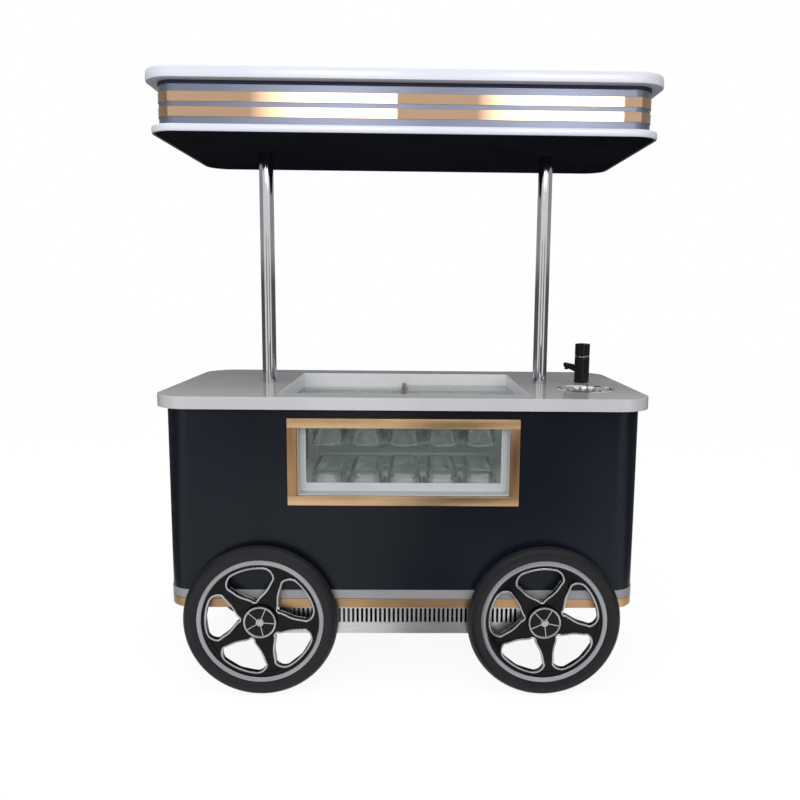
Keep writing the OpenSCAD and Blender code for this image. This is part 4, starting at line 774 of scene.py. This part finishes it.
# Counter: a polished pale slab with rounded corners overhangs the body and holds the well's white collar.
# Two glass lids with dark pull strips slide past each other on the collar's stepped tracks.
counter_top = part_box("counter")[1].z
counter_stone = finish("polished_counter", chip(206, 205, 207), rough=0.09, spread=0.04, cloud=5.0,
                       vary=0.05, grain=900.0, relief=0.008)
lid_glass = clear_finish("lid_glass", chip(206, 216, 212), 0.02, (0.05, 0.45))
strip_dark = finish("lid_pull_strip", chip(58, 58, 60), metal=0.6, rough=0.35, stretch=(1.0, 60.0, 1.0),
                    grain=20.0)
dress(counter_stone, "counter", ease=0.004)
dress(white_plastic, "well_collar", ease=0.0015)
dress(lid_glass, "lid_left", "lid_right", ease=0.0006)
dress(strip_dark, "lid_strip_left", "lid_strip_right", ease=0.0006)

# Sink: a spun stainless bowl with a rolled rim drops into the counter. Its drain runs to the waste tank,
# and a pump in the fresh tank feeds the riser under the tap. Both tanks are moulded plastic.
sink_middle = middle_of("sink_bowl")
SINK = (sink_middle.x, sink_middle.y, counter_top)
tank_plastic = finish("water_tank_plastic", chip(214, 222, 226), rough=0.45, cloud=8.0, vary=0.06,
                      relief=0.2)
dress(tank_plastic, "water_tanks", ease=0.004)
dress(white_plastic, "water_pipes")
polished_steel = finish("polished_stainless", chip(205, 206, 208), metal=1.0, rough=0.12, spread=0.05,
                        cloud=18.0, vary=0.08, stretch=(1.0, 1.0, 8.0), grain=60.0)


def upright(centre):
    """Places turned points round a standing axis."""
    return lambda r, w, a: (centre[0] + r * math.cos(a), centre[1] + r * math.sin(a), centre[2] + w)


def fluted(r, w, a):
    """A point of the bowl, whose wall is pressed into shallow upright flutes below its rim."""
    depth = 0.0009 * min(1.0, max(0.0, -w / 0.012)) * min(1.0, max(0.0, (r - 0.05) / 0.03))
    return upright(SINK)(r - depth * (1 + math.cos(22 * a)), w, a)


bowl = bmesh.new()
add_spun(bowl, [(0.0172, -0.1318), (0.0172, -0.1298)]
         + [(0.048 + 0.040 * math.sin(a), -0.090 - 0.040 * math.cos(a))
            for a in (math.pi / 2 * k / 8 for k in range(9))]
         + [(0.0882, -0.050), (0.0882, -0.012), (0.0892, -0.0015), (0.0915, 0.0014), (0.0950, 0.0018),
            (0.0985, 0.0013), (0.0998, 0.0002), (0.0990, 0.0), (0.0905, 0.0), (0.0902, -0.012),
            (0.0902, -0.050)]
         + [(0.048 + 0.042 * math.sin(a), -0.090 - 0.042 * math.cos(a))
            for a in (math.pi / 2 * (8 - k) / 8 for k in range(9))], fluted, steps=176)
make("sink_bowl_spun", bowl, polished_steel, "cart", "brushed_steel", "sink_bowl")

# Tap: a square black column on the counter with a short spout, a bright ring and a square head.
# The column swivels on the riser and the head turns on the column.
ring_low, ring_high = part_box("tap_ring")
head_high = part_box("tap_head")[1].z
tap_middle = (ring_low + ring_high) / 2
TAP = Vector((tap_middle.x, tap_middle.y, counter_top + 0.0005))
TAP_TURN = math.radians(-134)
TAP_W = 0.042
RING_LOW, RING_HIGH, HEAD_TOP = ring_low.z - TAP.z, ring_high.z - TAP.z, head_high - TAP.z
tap_black = finish("tap_black", chip(22, 22, 24), rough=0.20, spread=0.06, cloud=30.0, vary=0.25,
                   relief=0.05, grain=600.0, shine=0.35)
chrome = finish("mirror_chrome", chip(196, 197, 200), metal=1.0, rough=0.06, spread=0.03, cloud=10.0,
                vary=0.06, relief=0.01)


def tap_point(x, y, z):
    turned = Matrix.Rotation(TAP_TURN, 3, "Z") @ Vector((x, y, z))
    return TAP + turned


def add_column(form, width, profile):
    """A square column with round corners, from (inset, height) points."""
    rings = [[tap_point(x, y, z) for x, y in rounded_outline(width - 2 * i, width - 2 * i, 0.005, steps=5)]
             for i, z in profile]
    add_rings(form, rings)


column = bmesh.new()
add_column(column, TAP_W, [(0.002, 0.0), (0.0, 0.002), (0.0, RING_LOW - 0.0015), (0.0015, RING_LOW)])
SPOUT_W = 0.018
spout_line = [(-0.019, 0.0360, 0.0640, 0.0), (-0.040, 0.0426, 0.0661, 0.0), (-0.060, 0.0490, 0.0681, 0.0),
              (-0.0740, 0.0534, 0.0698, 0.0), (-0.0758, 0.0546, 0.0692, 0.0012)]
spout = []
for y, low_z, high_z, inset in spout_line:
    outline = rounded_outline(SPOUT_W - 2 * inset, high_z - low_z, 0.004, steps=4)
    spout.append([tap_point(x, y, (low_z + high_z) / 2 + z) for x, z in outline])
add_rings(column, spout)
NOZZLE_REACH = 0.067


def under_spout(r, w, a):
    """A point of the nozzle, which hangs down at the spout's end."""
    return tap_point(r * math.cos(a), r * math.sin(a) - NOZZLE_REACH, w)


add_spun(column,
         [(0.0, 0.0580), (0.0070, 0.0580), (0.0070, 0.0448), (0.0064, 0.0440), (0.0050, 0.0440),
          (0.0048, 0.0470), (0.0, 0.0470)], under_spout, steps=24, around=False)
make("tap_column", column, tap_black, "tap", "dark_plastic", "tap_body")
collar = bmesh.new()
add_column(collar, TAP_W + 0.001,
           [(0.0012, RING_LOW + 0.0002), (0.0, RING_LOW + 0.0012), (0.0, RING_HIGH - 0.0012),
            (0.0012, RING_HIGH)])
make("tap_bright_ring", collar, chrome, "tap", "bright_steel", "tap_ring")
head = bmesh.new()
add_column(head, TAP_W,
           [(0.0012, RING_HIGH + 0.0003), (0.0, RING_HIGH + 0.0015), (0.0, HEAD_TOP - 0.002),
            (0.0015, HEAD_TOP), (0.004, HEAD_TOP), (0.0046, HEAD_TOP - 0.002)])
make("tap_turning_head", head, tap_black, "tap_handle", "dark_plastic", "tap_head")

# Posts: two polished steel tubes stand in sockets on the cabinet floors, pass through the counter
# and carry the canopy on flanged brackets inside it.
POST_R, POST_WALL = 0.025, 0.002
post_low, post_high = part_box("posts")
dress(chassis_coat, "post_fittings", ease=0.001)
tubes = bmesh.new()
for post_x in (post_low.x + POST_R, post_high.x - POST_R):
    add_spun(tubes,
             [(POST_R - POST_WALL, post_low.z), (POST_R - 0.0005, post_low.z),
              (POST_R, post_low.z + 0.0005), (POST_R, 0.9), (POST_R, 1.4), (POST_R, post_high.z - 0.0005),
              (POST_R - 0.0005, post_high.z), (POST_R - POST_WALL, post_high.z)],
             upright((post_x, 0.0, 0.0)), steps=64)
make("post_tubes", tubes, chrome, "cart", "bright_steel", "posts")

# Canopy: a pale lacquered slab above and below a satin silver fascia with two mirror gold stripes.
# The lower slab is closed by a black ceiling panel with a grey band of painted shade round its edge
# underneath, and a black strip, partly painted shadow under the roof's overhang, fills the joint under the
# roof.
ROOF_R = 0.098
roof_low, roof_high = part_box("canopy_roof")
ROOF_L, ROOF_D = roof_high.x - roof_low.x, roof_high.y - roof_low.y
ROOF_LOW, ROOF_HIGH = roof_low.z, roof_high.z
CEILING_LOW, CEILING_HIGH = (corner.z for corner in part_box("canopy_ceiling"))
CEILING_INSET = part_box("canopy_ceiling")[0].x - roof_low.x
FASCIA_INSET, FASCIA_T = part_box("canopy_fascia")[0].x - roof_low.x, 0.012
STRIPE_H = 0.030
stripes_low, stripes_high = (corner.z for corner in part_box("canopy_stripes"))
canopy_lacquer = finish("pale_canopy_lacquer", chip(230, 232, 244), rough=0.22, spread=0.05, cloud=2.0,
                        vary=0.03, relief=0.02, coat=0.3)
ceiling_black = finish("black_ceiling_panel", chip(42, 43, 50), rough=0.75, spread=0.06, cloud=2.0,
                       vary=0.3, relief=0.05, shine=0.0)
# Joint strip: partly a dark trim, partly painted shadow under the roof's overhang.
joint_dark_and_shadow = finish("dark_joint_and_shadow_strip", chip(45, 44, 58), rough=0.55, spread=0.06, cloud=3.0, vary=0.3,
                    relief=0.05, shine=0.1)
# Grey band under the lower slab's edge: painted shade, where the pale edge is seen from below in shadow.
rim_grey_painted_shade = finish("grey_underside_painted_shade", chip(84, 85, 92), rough=0.5, spread=0.06, cloud=3.0, vary=0.2,
                  relief=0.05, shine=0.2)
fascia_silver = finish("fascia_silver", chip(110, 116, 133), metal=0.7, rough=0.30, spread=0.05,
                       cloud=2.0, vary=0.08, stretch=(0.5, 0.5, 60.0), grain=20.0, relief=0.04)
gold_mirror = finish("mirror_gold", chip(190, 158, 128), metal=1.0, rough=0.02, spread=0.012, cloud=2.5,
                     vary=0.08, relief=0.003)
roof = bmesh.new()
add_rim(roof, ROOF_L, ROOF_D, ROOF_R,
        [(0.049, ROOF_HIGH - 0.004), (0.049, ROOF_LOW), (0.003, ROOF_LOW), (0.0008, ROOF_LOW + 0.0008),
         (0.0, ROOF_LOW + 0.003), (0.0, ROOF_HIGH - 0.006), (0.0008, ROOF_HIGH - 0.0025),
         (0.0028, ROOF_HIGH - 0.0006), (0.006, ROOF_HIGH), (0.030, ROOF_HIGH)], around=False, caps=True)
make("canopy_roof_slab", roof, canopy_lacquer, "cart", "canopy_lacquer", "canopy_roof")
ceiling = bmesh.new()
add_rim(ceiling, ROOF_L, ROOF_D, ROOF_R,
        [(CEILING_INSET + i, z)
         for i, z in ((0.036, CEILING_HIGH), (0.004, CEILING_HIGH), (0.0015, CEILING_HIGH - 0.0006),
                      (0.0002, CEILING_HIGH - 0.003), (0.0, CEILING_HIGH - 0.008),
                      (0.0, CEILING_LOW + 0.006), (0.0008, CEILING_LOW + 0.002), (0.0024, CEILING_LOW),
                      (0.0030, CEILING_LOW), (0.0030, CEILING_LOW + 0.003),
                      (0.036, CEILING_LOW + 0.004))])
make("canopy_ceiling_edge", ceiling, canopy_lacquer, "cart", "canopy_lacquer")
# The grey band of painted shade round the underside of the lower slab's edge.
underside = bmesh.new()
add_rim(underside, ROOF_L, ROOF_D, ROOF_R,
        [(CEILING_INSET + i, CEILING_LOW + z)
         for i, z in ((0.0031, 0.0029), (0.0031, 0.0001), (0.0110, 0.0001), (0.0110, 0.0029))])
make("canopy_underside_painted_shade", underside, rim_grey_painted_shade, "cart", "dark_lacquer")
panel = bmesh.new()
add_rim(panel, ROOF_L, ROOF_D, ROOF_R,
        [(CEILING_INSET + i, CEILING_LOW + z)
         for i, z in ((0.0112, 0.0035), (0.0112, 0.0012), (0.0122, 0.0004), (0.027, 0.0004))],
        around=False, caps=True)
make("canopy_ceiling_panel", panel, ceiling_black, "cart", "dark_lacquer", "canopy_ceiling")
wall = bmesh.new()
add_rim(wall, ROOF_L, ROOF_D, ROOF_R,
        [(FASCIA_INSET, CEILING_HIGH), (FASCIA_INSET, ROOF_LOW), (FASCIA_INSET + FASCIA_T, ROOF_LOW),
         (FASCIA_INSET + FASCIA_T, CEILING_HIGH)])
make("canopy_fascia_sheet", wall, fascia_silver, "cart", "silver_metal", "canopy_fascia")


def add_strip(form, low, high):
    """A flat strip bonded round the fascia, with eased edges."""
    add_rim(form, ROOF_L, ROOF_D, ROOF_R,
            [(FASCIA_INSET + i, z)
             for i, z in ((0.0005, low), (-0.0015, low), (-0.002, low + 0.0005), (-0.002, high - 0.0005),
                          (-0.0015, high), (0.0005, high))])


# The dark strip under the roof is partly painted shadow of the overhang.
joint = bmesh.new()
add_strip(joint, ROOF_LOW - 0.0110, ROOF_LOW - 0.0002)
make("canopy_joint_and_shadow_strip", joint, joint_dark_and_shadow, "cart", "dark_lacquer")
stripes = bmesh.new()
add_strip(stripes, stripes_low, stripes_low + STRIPE_H)
add_strip(stripes, stripes_high - STRIPE_H, stripes_high)
make("canopy_gold_stripes", stripes, gold_mirror, "cart", "gold_metal", "canopy_stripes")
